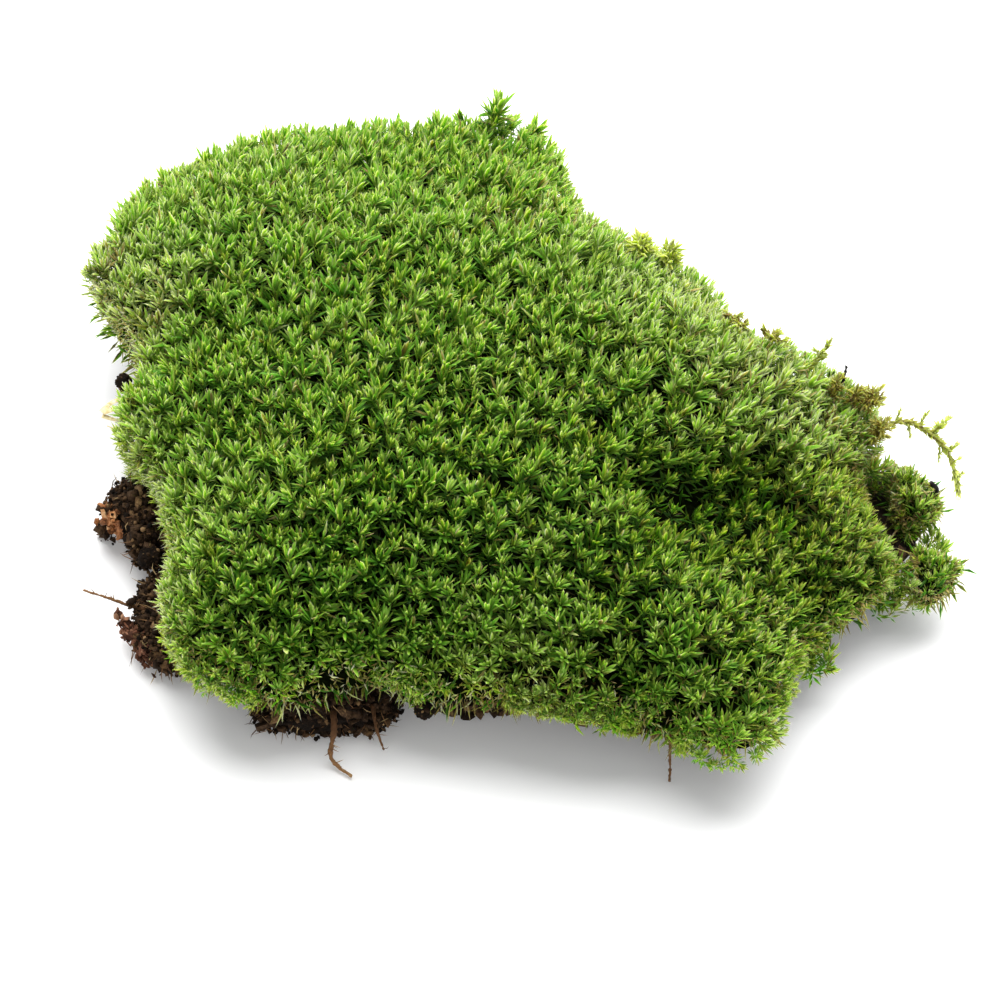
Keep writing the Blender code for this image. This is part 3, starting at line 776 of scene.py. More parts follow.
# Painted shade: the mat's colour is darker here, and painted light makes it brighter where the strength is
# negative.
PAINTED_LIGHT_AND_SHADE_SPOTS = (
    (62, -42, 20, 0.64), (36, -40, 13, 0.34), (20, -30, 42, 0.16), (52, -78, 16, 0.2),
    (86, -20, 16, 0.2), (-30, -50, 34, 0.08), (82, -25, 7, 0.6), (54, 0, 18, -0.4),
    (-88, 34, 16, -0.45), (-20, 20, 34, -0.06),
)


def noise_at(spots, size):
    """Smooth noise at many places, with waves of a size in mm."""
    return np.array([noise.noise(Vector(spot) / (size * MM)) for spot in spots])


def smooth_step(low, high, value):
    share = np.clip((value - low) / (high - low), 0, 1)
    return share * share * (3 - 2 * share)


def mat_tone(tips, facing, rng):
    size, strength = TONE_WAVE
    waves = noise_at(tips, size)
    start, finish, silver = SILVER_EDGE
    edge = silver * smooth_step(start, finish, -facing[:, 0])
    stray = rng.normal(0, TONE_STRAY, len(tips))
    return BASE_TONE + strength * waves + stray + edge + painted(TONE_AND_PAINTED_LIGHT_SPOTS, tips)


print("painted spots:", len(TONE_AND_PAINTED_LIGHT_SPOTS + BROWN_SPOTS + HOLLOWS + PAINTED_LIGHT_AND_SHADE_SPOTS))

# %% [markdown]
# A few shoots stand where the solids have no skin for them: in small heaps that join the mat to its
# side tufts or fill a notch of its edge, and in one tall shoot at the back, out of line with the
# rest. A heap is a round patch of random spots, highest in its middle, thinned like those on the skin.

# %% Heaps of shoots, and one tall shoot
# For each heap: its middle, its reach across and along the view, and the height of its top, in mm.
HEAPS = (
    ((84.5, -38.0), (6.5, 6.0), 16.5), ((82.0, -12.5), (5.5, 5.0), 21.5),
    ((80.5, -24.0), (4.0, 8.0), 15.5), ((65.0, -62.0), (3.5, 3.5), 17.5),
    ((94.0, -27.5), (3.0, 3.5), 14.5), ((84.5, -41.5), (6.0, 3.0), 13.5),
)
HEAP_FALL = 5.0  # the tips at a heap's edge are lower, by up to this many mm
HEAP_TRIES = 300
HEAP_GAP = 2.9
HEAP_LEAN = 0.8  # shoots at a heap's edge lean out by this much
# The tall shoot stands on three others.
TALL_SHOOT = ((-6.0, 84.3, 41.0), (-4.6, 84.6, 44.0), (-5.6, 84.3, 45.8), (-5.0, 84.4, 48.0))
TALL_FACING = (0.1, 0.05, 0.99)


def heap_spots(middle, reach, top, rng):
    across = rng.uniform(-1, 1, (HEAP_TRIES, 2))
    across = across[np.hypot(*across.T) < 1]
    fall = HEAP_FALL * (across**2).sum(axis=1)
    spots = np.column_stack([np.array(middle) + across * reach, top - fall]) * MM
    kept = thinned(spots, HEAP_GAP)
    return spots[kept], unit(np.column_stack([across[kept] * HEAP_LEAN, np.ones(len(kept))]))


odd = [heap_spots(*heap, rng) for heap in HEAPS]
odd.append((np.array(TALL_SHOOT) * MM, np.tile(TALL_FACING, (len(TALL_SHOOT), 1))))
shoot_tips = np.concatenate([shoot_tips] + [spots for spots, _ in odd])
shoot_facing = np.concatenate([shoot_facing] + [facing for _, facing in odd])
print("shoots in the heaps and the tall one:", [len(spots) for spots, _ in odd])

# %% [markdown]
# Now each shoot gets its own numbers: where its tip is, its size, how far it opens, its tone, and
# how much painted light it gets. The tips rise and fall a little, in clumps, as they do on real moss,
# and in a few places at the rim they swell out or draw in.

# %% Numbers of each shoot
SIZE_BY_DEPTH = ((-90, 90), (0.9, 1.3))  # shoots are larger towards the back
SIZE_SPREAD = 0.16
# Painted shade and light: old leaves get a darker colour towards the front and a brighter one at the back.
UNDER_PAINTED_SHADE_BY_DEPTH = ((-80, -20, 60), (0.35, 0.7, 1.35))  # old leaves are darker towards the front
SUNKEN = 1.5 * MM  # some tips stand lower than others by up to this
# Shoots rise and sink a little in clumps of this many mm, and the sunken ones get painted shade.
CLUMP_SIZE = 5.0
CLUMP_RISE = 2.6 * MM
CLUMP_PAINTED_SHADE = 0.9
OPENNESS = (0.65, 1.2)
# Painted shade: old leaves in a dim spot get a darker colour still.
PAINTED_DIM_UNDER = 2.4  # old leaves in a dim spot are darker still, by this share of it
GONE = 0.5  # share of the shoots that are missing in the middle of a hollow
LIGHT_SPREAD = (0.88, 1.0)
# Here the shoots stand further out from the mat by a strength in mm, or further in by a negative one.
SWELLS = (
    (-60, 81, 7, 2.0), (-33, 84, 7, 1.6), (-18, 86, 6, 2.4), (3, 83, 7, 2.8), (34, 39, 8, 1.0),
    (43, 32, 8, 1.0), (-62, -80, 7, 4.6), (10, -85, 13, 2.4), (-18, -84, 7, 1.8), (68, -66, 6, 2.2),
    (58, -78, 8, 2.0), (37, -92, 7, 3.6), (46, -93, 7, 3.8), (13, -87, 7, 1.6), (-91, -10, 10, 2.2),
    (79, -2, 6, 1.2), (-95, 35, 7, -1.8), (-90, 20, 6, -2.2), (91, -16, 5, -1.8), (9, 62, 6, -2.2),
    (56, 17, 7, -1.6), (70, 7, 6, -1.6), (96, -46, 6, -3.0), (74, -54, 7, -1.8), (-82, -26, 10, 1.6),
    (-80, -56, 8, 1.2), (-55, 72, 8, 1.6), (-38, 78, 6, 1.4), (-74, -73, 6, 2.0),
)

hollow = np.clip(painted(HOLLOWS, shoot_tips), 0, 1)
there = rng.random(len(shoot_tips)) >= GONE * hollow**2
order = np.argsort(-shoot_tips[there, 1])
tips, facing, hollow = (values[there][order] for values in (shoot_tips, shoot_facing, hollow))
count = len(tips)
across, along = tips[:, 0] / MM, tips[:, 1] / MM
clump = noise_at(tips, CLUMP_SIZE)
painted_dim = painted(PAINTED_LIGHT_AND_SHADE_SPOTS, tips)
fall = rng.uniform(0, SUNKEN, count) + HOLLOW_DEPTH * hollow - CLUMP_RISE * clump
place_size = np.interp(along, *SIZE_BY_DEPTH) * np.interp(facing[:, 2], *RIM_SIZE)
# Painted shade of each shoot, from hollows, dim spots and sunken clumps.
shade = (1 - HOLLOW_PAINTED_SHADE * hollow) * (1 - painted_dim) * (1 + CLUMP_PAINTED_SHADE * np.minimum(clump, 0))
shoots = {
    "tips": tips - np.outer(fall, (0, 0, 1)) + facing * painted(SWELLS, tips)[:, None] * MM,
    "facing": facing,
    "size": rng.normal(1, SIZE_SPREAD, count) * place_size * np.interp(across, *RIGHT_SIZE),
    "openness": rng.uniform(*OPENNESS, count),
    "tone": mat_tone(tips, facing, rng),
    "brown": BROWN_BASE + painted(BROWN_SPOTS, tips),
    "light": shade * rng.uniform(*LIGHT_SPREAD, count),
    "under": np.interp(along, *UNDER_PAINTED_SHADE_BY_DEPTH) * np.clip(1 - PAINTED_DIM_UNDER * painted_dim, 0, 1),
}
print("shoots with their leaves:", count)

# %% [markdown]
# The leaves are built from these numbers, thousands at once. They are shared out over five meshes,
# from the back of the clump to its front, because a piece with too many triangles is thinned when
# it is exported.

# %% Leafy shoots
SHOOT_PIECES = 5

for index, part in enumerate(np.array_split(np.arange(count), SHOOT_PIECES)):
    some = {key: values[part] for key, values in shoots.items()}
    frames = shoot_frames(some["facing"], rng)
    batches = [leaf_batch(leaf_set, some, frames, rng) for leaf_set in LEAF_SETS.values()]
    add_blades(f"moss_shoots_{index + 1}", batches, moss, "moss", *MOSS_NODES)

# %% [markdown]
# Under the leaves lies a dense felt of old stems. It closes the gaps between the shoots, so that
# nothing shows through them. Its nearly black green and brown is partly the old stems' own colour
# and partly painted shade for the deep gaps. It could be a mass of strands too, but hardly any of it
# can be seen. So it is one skin: the same softened copy of the solid, drawn in and sunk.

# %% The felt under the leaves
CORE_INSET = 3.5 * MM
CORE_SINK = (0.45, 7.5 * MM)  # the share of its height that the felt sinks by, and the most
CORE_LIMIT = 0.5  # the felt is never drawn in by more than this share of its reach
# Painted shade: the felt is nearly black, for the shade deep between the shoots.
felt_and_painted_shade = Finish("moss_felt_painted_shade", Roughness=0.9, Specular_IOR_Level=0.0)
felt_and_painted_shade.wear(Base_Color=felt_and_painted_shade.ramp(felt_and_painted_shade.clouds(1.0, 4.0), ((0.3, colour(5, 8, 2)), (0.7, colour(20, 26, 8)))))


def mesh_from(name, bm):
    """A smooth mesh from a bmesh, which is then done with."""
    mesh = bpy.data.meshes.new(name)
    bm.to_mesh(mesh)
    bm.free()
    mesh.shade_smooth()
    return mesh


def core_mesh(node, inset):
    bm = relaxed(welded(node), SOFTENING[node])
    low = min(vert.co.z for vert in bm.verts)
    middle = middle_of(bm)
    for vert in bm.verts:
        outward = vert.co - middle
        outward.z = 0
        vert.co -= outward.normalized() * min(inset, outward.length * CORE_LIMIT)
        vert.co.z -= min((vert.co.z - low) * CORE_SINK[0], CORE_SINK[1])
    return mesh_from(node + "_felt", bm)


felt_skins = []
for node in MOSS_NODES:
    inset = CORE_INSET if node == "moss_cushion" else CORE_INSET / 2
    felt_skins.append(core_mesh(node, inset))
    add_piece(node + "_felt", felt_skins[-1], felt_and_painted_shade, "moss", node)

# %% [markdown]
# Old leaves stand on the felt, half hidden and darkened by painted shade, and fill what room is left under
# the shoots.
# They are blades like the others, but thinner and laid at random: each starts on a surface and
# leans away from its normal. The fringe of dead stems and the rootlets will be laid in the same way.

# %% Old leaves on the felt
THIN_BLADE = ((0.0, 0.0), (0.5, 1.0), (1.0, 0.0))
BLADE_WIDTHS = (0.7, 1.3)
THROWN = 60000  # random spots thrown on each skin
UNDER_GAP = 1.55
UNDER_FACING = -0.3  # none where the felt faces further down than this
UNDER_LEAF = ((3.0, 5.5), 0.8, (5, 70), 0.4)  # lengths and width in mm, degrees of lean, curl
UNDER_TONE = (0.46, 0.07)
UNDER_DEAD = 0.12
# Painted shade: the old leaves on the felt get a dark colour.
UNDER_PAINTED_LIGHT = (0.08, 0.34)
STEM_SEED = 23


def laid_blades(stations, spots, up, lengths, width, angles, curl, rng):
    """Thin blades that start on a surface and lean away from its normal by angles in degrees."""
    corners, faces = blade(stations)
    count = len(spots)
    out, side = random_sides(up, rng)
    length = rng.uniform(*lengths, count) * MM
    wide = width * rng.uniform(*BLADE_WIDTHS, count) * MM
    lean = np.radians(rng.uniform(*angles, count))
    curls = rng.normal(0, curl, count)
    return bent_blades(corners, spots, out, side, up, length, wide, wide, lean, curls), faces


def under_leaves(mesh, rng):
    bm = bmesh.new()
    bm.from_mesh(mesh)
    spots, facing = spots_on(*arrays_of(bm), THROWN, rng)
    bm.free()
    top = facing[:, 2] > UNDER_FACING
    spots, facing = spots[top], facing[top]
    kept = thinned(spots, UNDER_GAP)
    points, faces = laid_blades(THIN_BLADE, spots[kept], facing[kept], *UNDER_LEAF, rng)
    tone = some_changed(rng.normal(*UNDER_TONE, (len(kept), 1)), UNDER_DEAD, DEAD_TONES, rng)
    return points, faces, tone, rng.uniform(*UNDER_PAINTED_LIGHT, tone.shape)


rng = np.random.default_rng(STEM_SEED)
batches = [under_leaves(mesh, rng) for mesh in felt_skins]
add_blades("moss_under_leaves", batches, moss, "moss", *MOSS_NODES)

# %% [markdown]
# Pulled from the ground, the mat shows what it grew from: a fringe of dead stems, buff and brown,
# round its edge and all over its underside. They are the same thin blades, laid in three bands:
# where the skin faces sideways, where it slopes under, and where it faces down.

# %% Dead stems at the edge and underneath
# For each band: how the skin faces, gap and length in mm, how far the stems turn from its normal to
# straight down, the degrees that they stray, and their tones.
STEM_BANDS = (
    ((-0.35, 0.56), 0.75, (1.2, 2.8), 0.35, (15, 85), (0.04, 0.24)),
    ((-0.7, -0.35), 1.1, (3.0, 6.5), 0.6, (10, 60), (0.02, 0.2)),
    ((-1.01, -0.7), 1.8, (3.0, 6.0), 0.3, (10, 60), (0.0, 0.16)),
)
STEM_WIDTH = 0.42
STEM_CURL = 0.5
STEM_ROOT = 2.0 * MM  # how deep the stems start under the skin
STEM_LIGHT = (0.4, 0.95)
CREAM_SHARE = 0.04  # share of the stems that are cream anywhere
CREAM_PART = 0.65  # and how much more of them are in a cream spot of strength 1
CREAM_SPOTS = (
    (-91, 22, 8, 0.6), (-84, -12, 8, 0.6), (-82, -28, 11, 1.0), (-81, -44, 8, 0.8),
    (-80, -59, 9, 1.1), (-47, -80, 16, 0.6), (-20, -79, 14, 0.7), (27, -90, 8, 0.5),
)
CREAM_TONES = (0.78, 0.98)
CREAM_LIFT = 0.9  # stems in the cream spots start this much nearer to the skin


def dead_stems(node, rng):
    skin = arrays_of(relaxed(welded(node), SOFTENING[node]))
    batches = []
    for (low, high), gap, lengths, hang, angles, tones in STEM_BANDS:
        spots, facing = spots_on(*skin, THROWN, rng)
        band = (facing[:, 2] > low) & (facing[:, 2] <= high)
        spots, facing = spots[band], facing[band]
        kept = thinned(spots, gap)
        spots, facing = spots[kept], facing[kept]
        up = unit(facing * (1 - hang) - np.array([0, 0, hang]))
        cream = painted(CREAM_SPOTS, spots)[:, None]
        feet = spots - facing * STEM_ROOT * (1 - CREAM_LIFT * cream)
        blades = laid_blades(THIN_BLADE, feet, up, lengths, STEM_WIDTH, angles, STEM_CURL, rng)
        tone = rng.uniform(*tones, (len(spots), 1))
        tone = some_changed(tone, CREAM_SHARE + CREAM_PART * cream, CREAM_TONES, rng)
        batches.append((*blades, tone, rng.uniform(*STEM_LIGHT, tone.shape)))
    return batches


batches = [batch for node in MOSS_NODES for batch in dead_stems(node, rng)]
add_blades("moss_dead_stems", batches, moss, "moss", *MOSS_NODES)

# %% [markdown]
# The soil is a crumbly forest humus: nearly black where it is moist, brown where it has dried, with
# paler bits of rotten wood in it. Its colour comes from the same two numbers as the leaves'. The
# larger lumps add a fine noise to them, and a bump that breaks up the surface.

# %% Soil finish
SOIL_TONES = (
    (0.00, colour(20, 14, 9)),
    (0.30, colour(42, 29, 18)),
    (0.55, colour(80, 60, 42)),
    (0.80, colour(124, 96, 64)),
    (1.00, colour(172, 140, 100)),
)
# Painted shade for grains, rootlets, litter, straw, bark splinters and feather moss: their colour darkens
# as their light number falls.
SOIL_PAINTED_SHADE = ((0.0, (0.25, 0.25, 0.25, 1.0)), (1.0, (1.0, 1.0, 1.0, 1.0)))
BROAD_PART, FINE_PART = 0.5, 0.6  # how far the two noises move a lump's tone
BUMP_HEIGHT = 0.4 * MM


def lump_finish(name, tones, patch, grain, bump):
    """A finish with patches of tone and a fine broken surface, for whole lumps."""
    finish = Finish(name, Specular_IOR_Level=0.12)
    broad = finish.clouds(patch, 4.0)
    fine = finish.clouds(grain, 3.0)
    bumps = {"Height": fine, "Strength": bump, "Distance": BUMP_HEIGHT}
    mottled = finish.attribute("tone") + broad * BROAD_PART + fine * FINE_PART - 0.5
    return finish.wear(Base_Color=finish.ramp(mottled, tones), Roughness=0.9,
                       Normal=finish.node("ShaderNodeBump", {}, bumps))


soil_grain = grain_finish("soil_grains", SOIL_TONES, SOIL_PAINTED_SHADE, 0.9)
soil_lump = lump_finish("soil_lumps", SOIL_TONES, 2.2, 0.5, 0.9)
print("soil finishes with", len(SOIL_TONES), "tones")

# %% [markdown]
# The broad forms of the soil are lumps: each is a copy of its CAD solid, cut finer and roughened
# with two sizes of noise. The bed and the small crumbs keep this skin. A clod's lump is shrunk,
# because it only fills the dark between the crumbs that follow.

# %% Lumps of soil
CLOD_NODES = ("soil_clod_left", "soil_clod_corner", "soil_clod_front")
CRUMB_NODES = ("soil_crumb_left", "soil_crumb_side", "soil_crumb_front")
CLOD_NOISE = ((4.0, 1.2), (1.6, 0.7))  # size of each noise and its strength, in mm
CRUMB_NOISE = ((2.0, 0.5), (0.8, 0.3))
BED_NOISE = ((7.0, 1.4), (2.5, 1.0))
CLOD_FILLING = 0.6  # size of the dark filling beside its clod
BED_PULL = 0.8  # mm that the skin is drawn in, to make room for what lies on it
CRUMB_PULL = 0.3
RESTING = 0.5 * MM  # corners lower than this stay where they are, on the table
LUMP_ROUNDING = 0.3


def roughened(bm, layers, pull=0.0):
    """Pushes corners in and out by layers of noise, but for those that rest on the table."""
    bm.normal_update()
    moves = []
    for vert in bm.verts:
        push = -pull
        for size, strength in layers:
            push += noise.noise(vert.co / (size * MM)) * strength
        moves.append(vert.normal * push * MM)
    for vert, move in zip(bm.verts, moves):
        if vert.co.z > RESTING:
            vert.co += move
        vert.co.z = max(vert.co.z, GROUND)
    bm.normal_update()
    return bm


def lump(node, cuts, layers, pull=0.0, scale=1.0):
    """A CAD solid with a rough skin, pulled in or shrunk about its middle."""
    bm = welded(node)
    about_middle = Matrix.Translation(-middle_of(bm))
    bmesh.ops.scale(bm, verts=bm.verts, vec=(scale, scale, scale), space=about_middle)
    bmesh.ops.subdivide_edges(bm, edges=bm.edges, cuts=cuts, use_grid_fill=True, smooth=LUMP_ROUNDING)
    return roughened(bm, layers, pull)


lumps = {node: lump(node, 2, CLOD_NOISE, scale=CLOD_FILLING) for node in CLOD_NODES}
lumps |= {node: lump(node, 3, CRUMB_NOISE, CRUMB_PULL) for node in CRUMB_NODES}
lumps["soil_bed"] = lump("soil_bed", 2, BED_NOISE, BED_PULL)
print("corners of the lumps:", {node: len(bm.verts) for node, bm in lumps.items()})

# %% [markdown]
# A crumb of soil is an angular little lump. It starts as an icosphere with few corners. A handful
# of random waves push these in and out, and then it is squeezed and turned at random, so no two are
# alike. A rock generator could make each one, but here thousands are shaped at once.

# %% Crumbs of many shapes
CRUMB_WAVES = 5
CRUMB_WAVE = (0.24, 3.4)  # strength of the waves that shape a crumb, and how many fit round it
CRUMB_STRETCH = (0.6, 1.15)


def round_shape(radius, pull=None):
    """Corners and triangles of an icosphere. `pull` gives a factor for each corner in turn."""
    bm = bmesh.new()
    bmesh.ops.create_icosphere(bm, subdivisions=1, radius=radius)
    for vert in bm.verts if pull else ():
        vert.co *= pull()
    return shape_of(bm)


def random_turns(count, rng):
    """Evenly random rotations, as matrices."""
    turns = np.linalg.qr(rng.normal(size=(count, 3, 3)))[0]
    return turns * np.linalg.det(turns)[:, None, None]


def turned(shapes, spots, rng):
    """Many small shapes, each turned at random and put at its spot."""
    points = np.einsum("nij,ncj->nci", random_turns(len(spots), rng), shapes) + spots[:, None]
    points[..., 2] = np.maximum(points[..., 2], GROUND)
    return points


def crumbs(spots, sizes, rng, stretch=CRUMB_STRETCH):
    """Lumps of many shapes at many spots: corners and triangles. Sizes are radii in metres."""
    corners, faces = round_shape(1.0)
    count = len(spots)
    strength, waves = CRUMB_WAVE
    swell = np.ones((count, len(corners)))
    for _ in range(CRUMB_WAVES):
        direction = rng.normal(0, waves / 2, (count, 3))
        phase = rng.uniform(0, 2 * math.pi, (count, 1))
        swell += strength * np.cos(direction @ corners.T + phase)
    squeeze = rng.uniform(*stretch, (count, 1, 3))
    return turned(corners[None] * swell[..., None] * squeeze * sizes[:, None, None], spots, rng), faces


print("a crumb has", len(round_shape(1.0)[1]), "triangles")

# %% [markdown]
# A clod of forest soil is a heap of crumbs that roots hold together, with a ragged edge and dark
# gaps. So its CAD solid is filled with crumbs: random spots inside it, each with a crumb as large as
# the room up to the skin allows. A few bites are left out at the edges, where bits have fallen off.

# %% Crumbs of the clods
# For each clod: gap between crumbs and their largest radius, in mm, and their tone.
CLOD_CRUMBS = {
    "soil_clod_left": (1.2, 1.5, 0.38),
    "soil_clod_corner": (1.2, 1.4, 0.38),
    "soil_clod_front": (1.2, 1.4, 0.24),
}
CLOD_TRIES = 24000
CLOD_CRUST = 4.0 * MM  # crumbs lie no deeper than this, because nothing further in can be seen
CLOD_FIT = (0.7, 1.25)  # a crumb's radius beside its depth under the skin
CLOD_LEAST = 0.5
CLOD_TONES = 0.17  # spread of the crumbs' tones
# Bits are missing from the clods' edges here: (x, y, reach, strength), in mm but for the last.
BITES = (
    (-96, -25, 5, 1.0), (-92, -30, 4, 1.0), (-85, -60, 4.5, 1.0), (-81, -63, 3.5, 1.0),
    (-50, -81, 3, 1.0), (-58, -79, 3, 1.0), (-33, -79.5, 4, 1.0), (-41, -80, 4, 1.0),
    (-88.5, -52, 3, 1.0), (-97, -8, 3, 0.8), (-91.5, -24.5, 3.5, 1.0), (-47, -79.5, 4, 1.0),
    (-37, -80, 4, 1.0), (-53, -79.5, 4, 1.0), (-62, -77, 2.5, 1.0),
)
BITE_LIMIT = 0.45
CLOD_SEED = 29


def spots_inside(bm, tries, deepest, rng):
    """Random spots inside a closed solid and near its skin, and how deep each is, in metres."""
    tree = BVHTree.FromBMesh(bm)
    low = np.min([vert.co for vert in bm.verts], axis=0)
    high = np.max([vert.co for vert in bm.verts], axis=0)
    kept = []
    for spot in rng.uniform(low, high, (tries, 3)):
        nearest, normal, _, depth = tree.find_nearest(Vector(spot))
        if depth < deepest and (Vector(spot) - nearest).dot(normal) < 0:
            kept.append((*spot, depth))
    kept = np.array(kept)
    return kept[:, :3], kept[:, 3]


def clod_crumbs(node, gap, largest, base_tone, rng):
    """Crumbs that fill a clod up to its skin, and where they are."""
    bm = welded(node)
    spots, depth = spots_inside(bm, CLOD_TRIES, CLOD_CRUST, rng)
    bm.free()
    whole = painted(BITES, spots) < BITE_LIMIT
    spots, depth = spots[whole], depth[whole]
    kept = thinned(spots, gap)
    spots, depth = spots[kept], depth[kept]
    sizes = np.clip(depth * rng.uniform(*CLOD_FIT, len(depth)), CLOD_LEAST * MM, largest * MM)
    points, faces = crumbs(spots, sizes, rng)
    tone = np.clip(rng.normal(base_tone, CLOD_TONES, (len(spots), 1)), 0, 1)
    return (points, faces, tone, FULL_LIGHT), spots, sizes


rng = np.random.default_rng(CLOD_SEED)
crumb_spots = {}
for node, settings in CLOD_CRUMBS.items():
    batch, spots, sizes = clod_crumbs(node, *settings, rng)
    crumb_spots[node] = (spots, sizes)
    add_blades(node + "_crumbs", [batch], soil_lump, "soil", node)

# %% [markdown]
# The bed is broken earth too. Its top is hidden under the mat, so only its side gets crumbs, thrown
# on the skin of its lump.

# %% Crumbs round the bed
GRAIN_TRIES = 24000  # random spots on each lump
BED_SIDE = 0.6  # the side of the bed is where its skin faces up by less than this
BED_CRUMBS = (1.8, (0.6, 1.7))  # gap between them and their radius, in mm
BED_TONE = (0.36, 0.17)
OFF_TABLE = 1.0 * MM  # no crumbs or grains below this
GRAIN_SEED = 31


def bed_crumbs(gap, sizes, rng):
    spots, facing = spots_on(*arrays_of(lumps["soil_bed"]), GRAIN_TRIES, rng)
    spots = spots[(facing[:, 2] < BED_SIDE) & (spots[:, 2] > OFF_TABLE)]
    spots = spots[thinned(spots, gap)]
    points, faces = crumbs(spots, rng.uniform(*sizes, len(spots)) * MM, rng)
    return points, faces, np.clip(rng.normal(*BED_TONE, (len(spots), 1)), 0, 1), FULL_LIGHT


rng = np.random.default_rng(GRAIN_SEED)
add_blades("soil_bed_crumbs", [bed_crumbs(*BED_CRUMBS, rng)], soil_lump, "soil", "soil_bed")

# %% [markdown]
# Over the crumbs and lumps lie grains of soil, most of them tiny and a few pale. They come in a few
# angular shapes: icospheres whose corners are moved in and out at random, then stretched and turned.
# On a clod they sit round its crumbs, and elsewhere on the skin of the lump.

# %% Grains of soil
GRAIN_PULL = (0.62, 1.2)  # an icosphere's corners are moved in or out by these factors
GRAIN_KINDS = 3
GRAIN_TONE = (0.22, 0.16)
PALE_GRAINS = (0.12, (0.6, 1.0))  # their share and their tones
GRAIN_LIGHT = (0.6, 1.0)
# For each solid: gap between grains and their size, in mm, and how many rootlets.
GRAINS = {
    "soil_clod_left": (1.45, (0.5, 1.8), 300),
    "soil_clod_corner": (1.45, (0.5, 1.7), 300),
    "soil_clod_front": (1.45, (0.5, 1.7), 420),
    "soil_crumb_left": (0.8, (0.5, 1.4), 0),
    "soil_crumb_side": (0.8, (0.5, 1.5), 3),
    "soil_crumb_front": (0.8, (0.5, 1.3), 2),
    "soil_bed": (2.6, (0.6, 1.8), 200),
}


def grain_spots(node, rng):
    """Random spots for grains: round the crumbs of a clod, or over a lump's skin."""
    if node in crumb_spots:
        centres, sizes = crumb_spots[node]
        chosen = rng.integers(0, len(centres), GRAIN_TRIES)
        facing = unit(rng.normal(0, 1, (GRAIN_TRIES, 3)))
        return centres[chosen] + facing * sizes[chosen][:, None], facing
    return spots_on(*arrays_of(lumps[node]), GRAIN_TRIES, rng)


def grains_on(node, gap, sizes, rng):
    """Grains over a lump, in a few shapes, as batches for one mesh."""
    spots, facing = grain_spots(node, rng)
    open_side = spots[:, 2] > OFF_TABLE
    if node == "soil_bed":
        open_side &= facing[:, 2] < BED_SIDE
    spots, facing = spots[open_side], facing[open_side]
    kept = thinned(spots, gap)
    batches = []
    for part in np.array_split(rng.permutation(kept), GRAIN_KINDS):
        corners, faces = round_shape(0.5, lambda: rng.uniform(*GRAIN_PULL))
        size = between(sizes, rng.random((len(part), 1)) ** 3)
        stretch = rng.uniform(*CRUMB_STRETCH, (len(part), 3))
        points = turned(corners[None] * (size * stretch * MM)[:, None], spots[part], rng)
        tone = np.clip(rng.normal(*GRAIN_TONE, (len(part), 1)), 0, 1)
        tone = some_changed(tone, *PALE_GRAINS, rng)
        batches.append((points, faces, tone, rng.uniform(*GRAIN_LIGHT, tone.shape)))
    return batches, spots[kept], facing[kept]


print("lumps that get grains:", len(GRAINS))

# %% [markdown]
# Rootlets as thin as hair stick out of the soil on all sides. They are thin blades again, strongly
# curled, and each starts at one of the grains. All of them are one mesh, which stands for the
# clods. A lump is one mesh too, and so are its grains, and both stand for the lump's own solid.

# %% Fine rootlets
ROOTLET = ((0.0, 0.0), (0.3, 1.0), (0.65, 0.8), (1.0, 0.0))
ROOTLET_FORM = ((2.0, 5.5), 0.24, (35, 85), 1.1)  # lengths and width in mm, degrees of lean, curl
ROOTLET_TONES = (0.2, 1.0)
ROOT_TONES = (
    (0.0, colour(48, 32, 22)),
    (0.4, colour(98, 68, 44)),
    (0.7, colour(146, 108, 70)),
    (1.0, colour(206, 178, 128)),
)
rootlet_finish = grain_finish("rootlets", ROOT_TONES, SOIL_PAINTED_SHADE, 0.7)


def rootlets_on(spots, facing, count, rng):
    chosen = rng.choice(len(spots), count, replace=False)
    feet = spots[chosen] - facing[chosen] * MM
    blades = laid_blades(ROOTLET, feet, facing[chosen], *ROOTLET_FORM, rng)
    tone = rng.uniform(*ROOTLET_TONES, (count, 1))
    return (*blades, tone, rng.uniform(*GRAIN_LIGHT, tone.shape))


rootlet_batches = []
for node, (gap, sizes, rootlets) in GRAINS.items():
    batches, spots, facing = grains_on(node, gap, sizes, rng)
    if rootlets:
        rootlet_batches.append(rootlets_on(spots, facing, rootlets, rng))
    add_blades(node + "_grains", batches, soil_grain, "soil", node)
    add_piece(node + "_lump", mesh_from(node + "_lump", lumps[node]), soil_lump, "soil", node)
add_blades("soil_rootlets", rootlet_batches, rootlet_finish, "root", *CLOD_NODES)

# %% [markdown]
# Two bits of bark lie at the left. The chip is thick, orange-brown and crumbling, and the flake is a
# long reddish strip with its fibres showing. Both come from their CAD solids in the same way as the
# lumps of soil, but the noise is stretched along the grain of the wood, and sharp ridges take the
# place of soft waves.

# %% Forms of the bark
BARK_TONES = (
    (0.0, colour(36, 22, 14)),
    (0.35, colour(98, 62, 38)),
    (0.6, colour(164, 106, 64)),
    (0.85, colour(204, 152, 104)),
    (1.0, colour(222, 186, 144)),
)
FLAKE_TONES = (
    (0.0, colour(40, 26, 20)),
    (0.4, colour(88, 56, 42)),
    (0.7, colour(132, 88, 66)),
    (1.0, colour(186, 146, 116)),
)
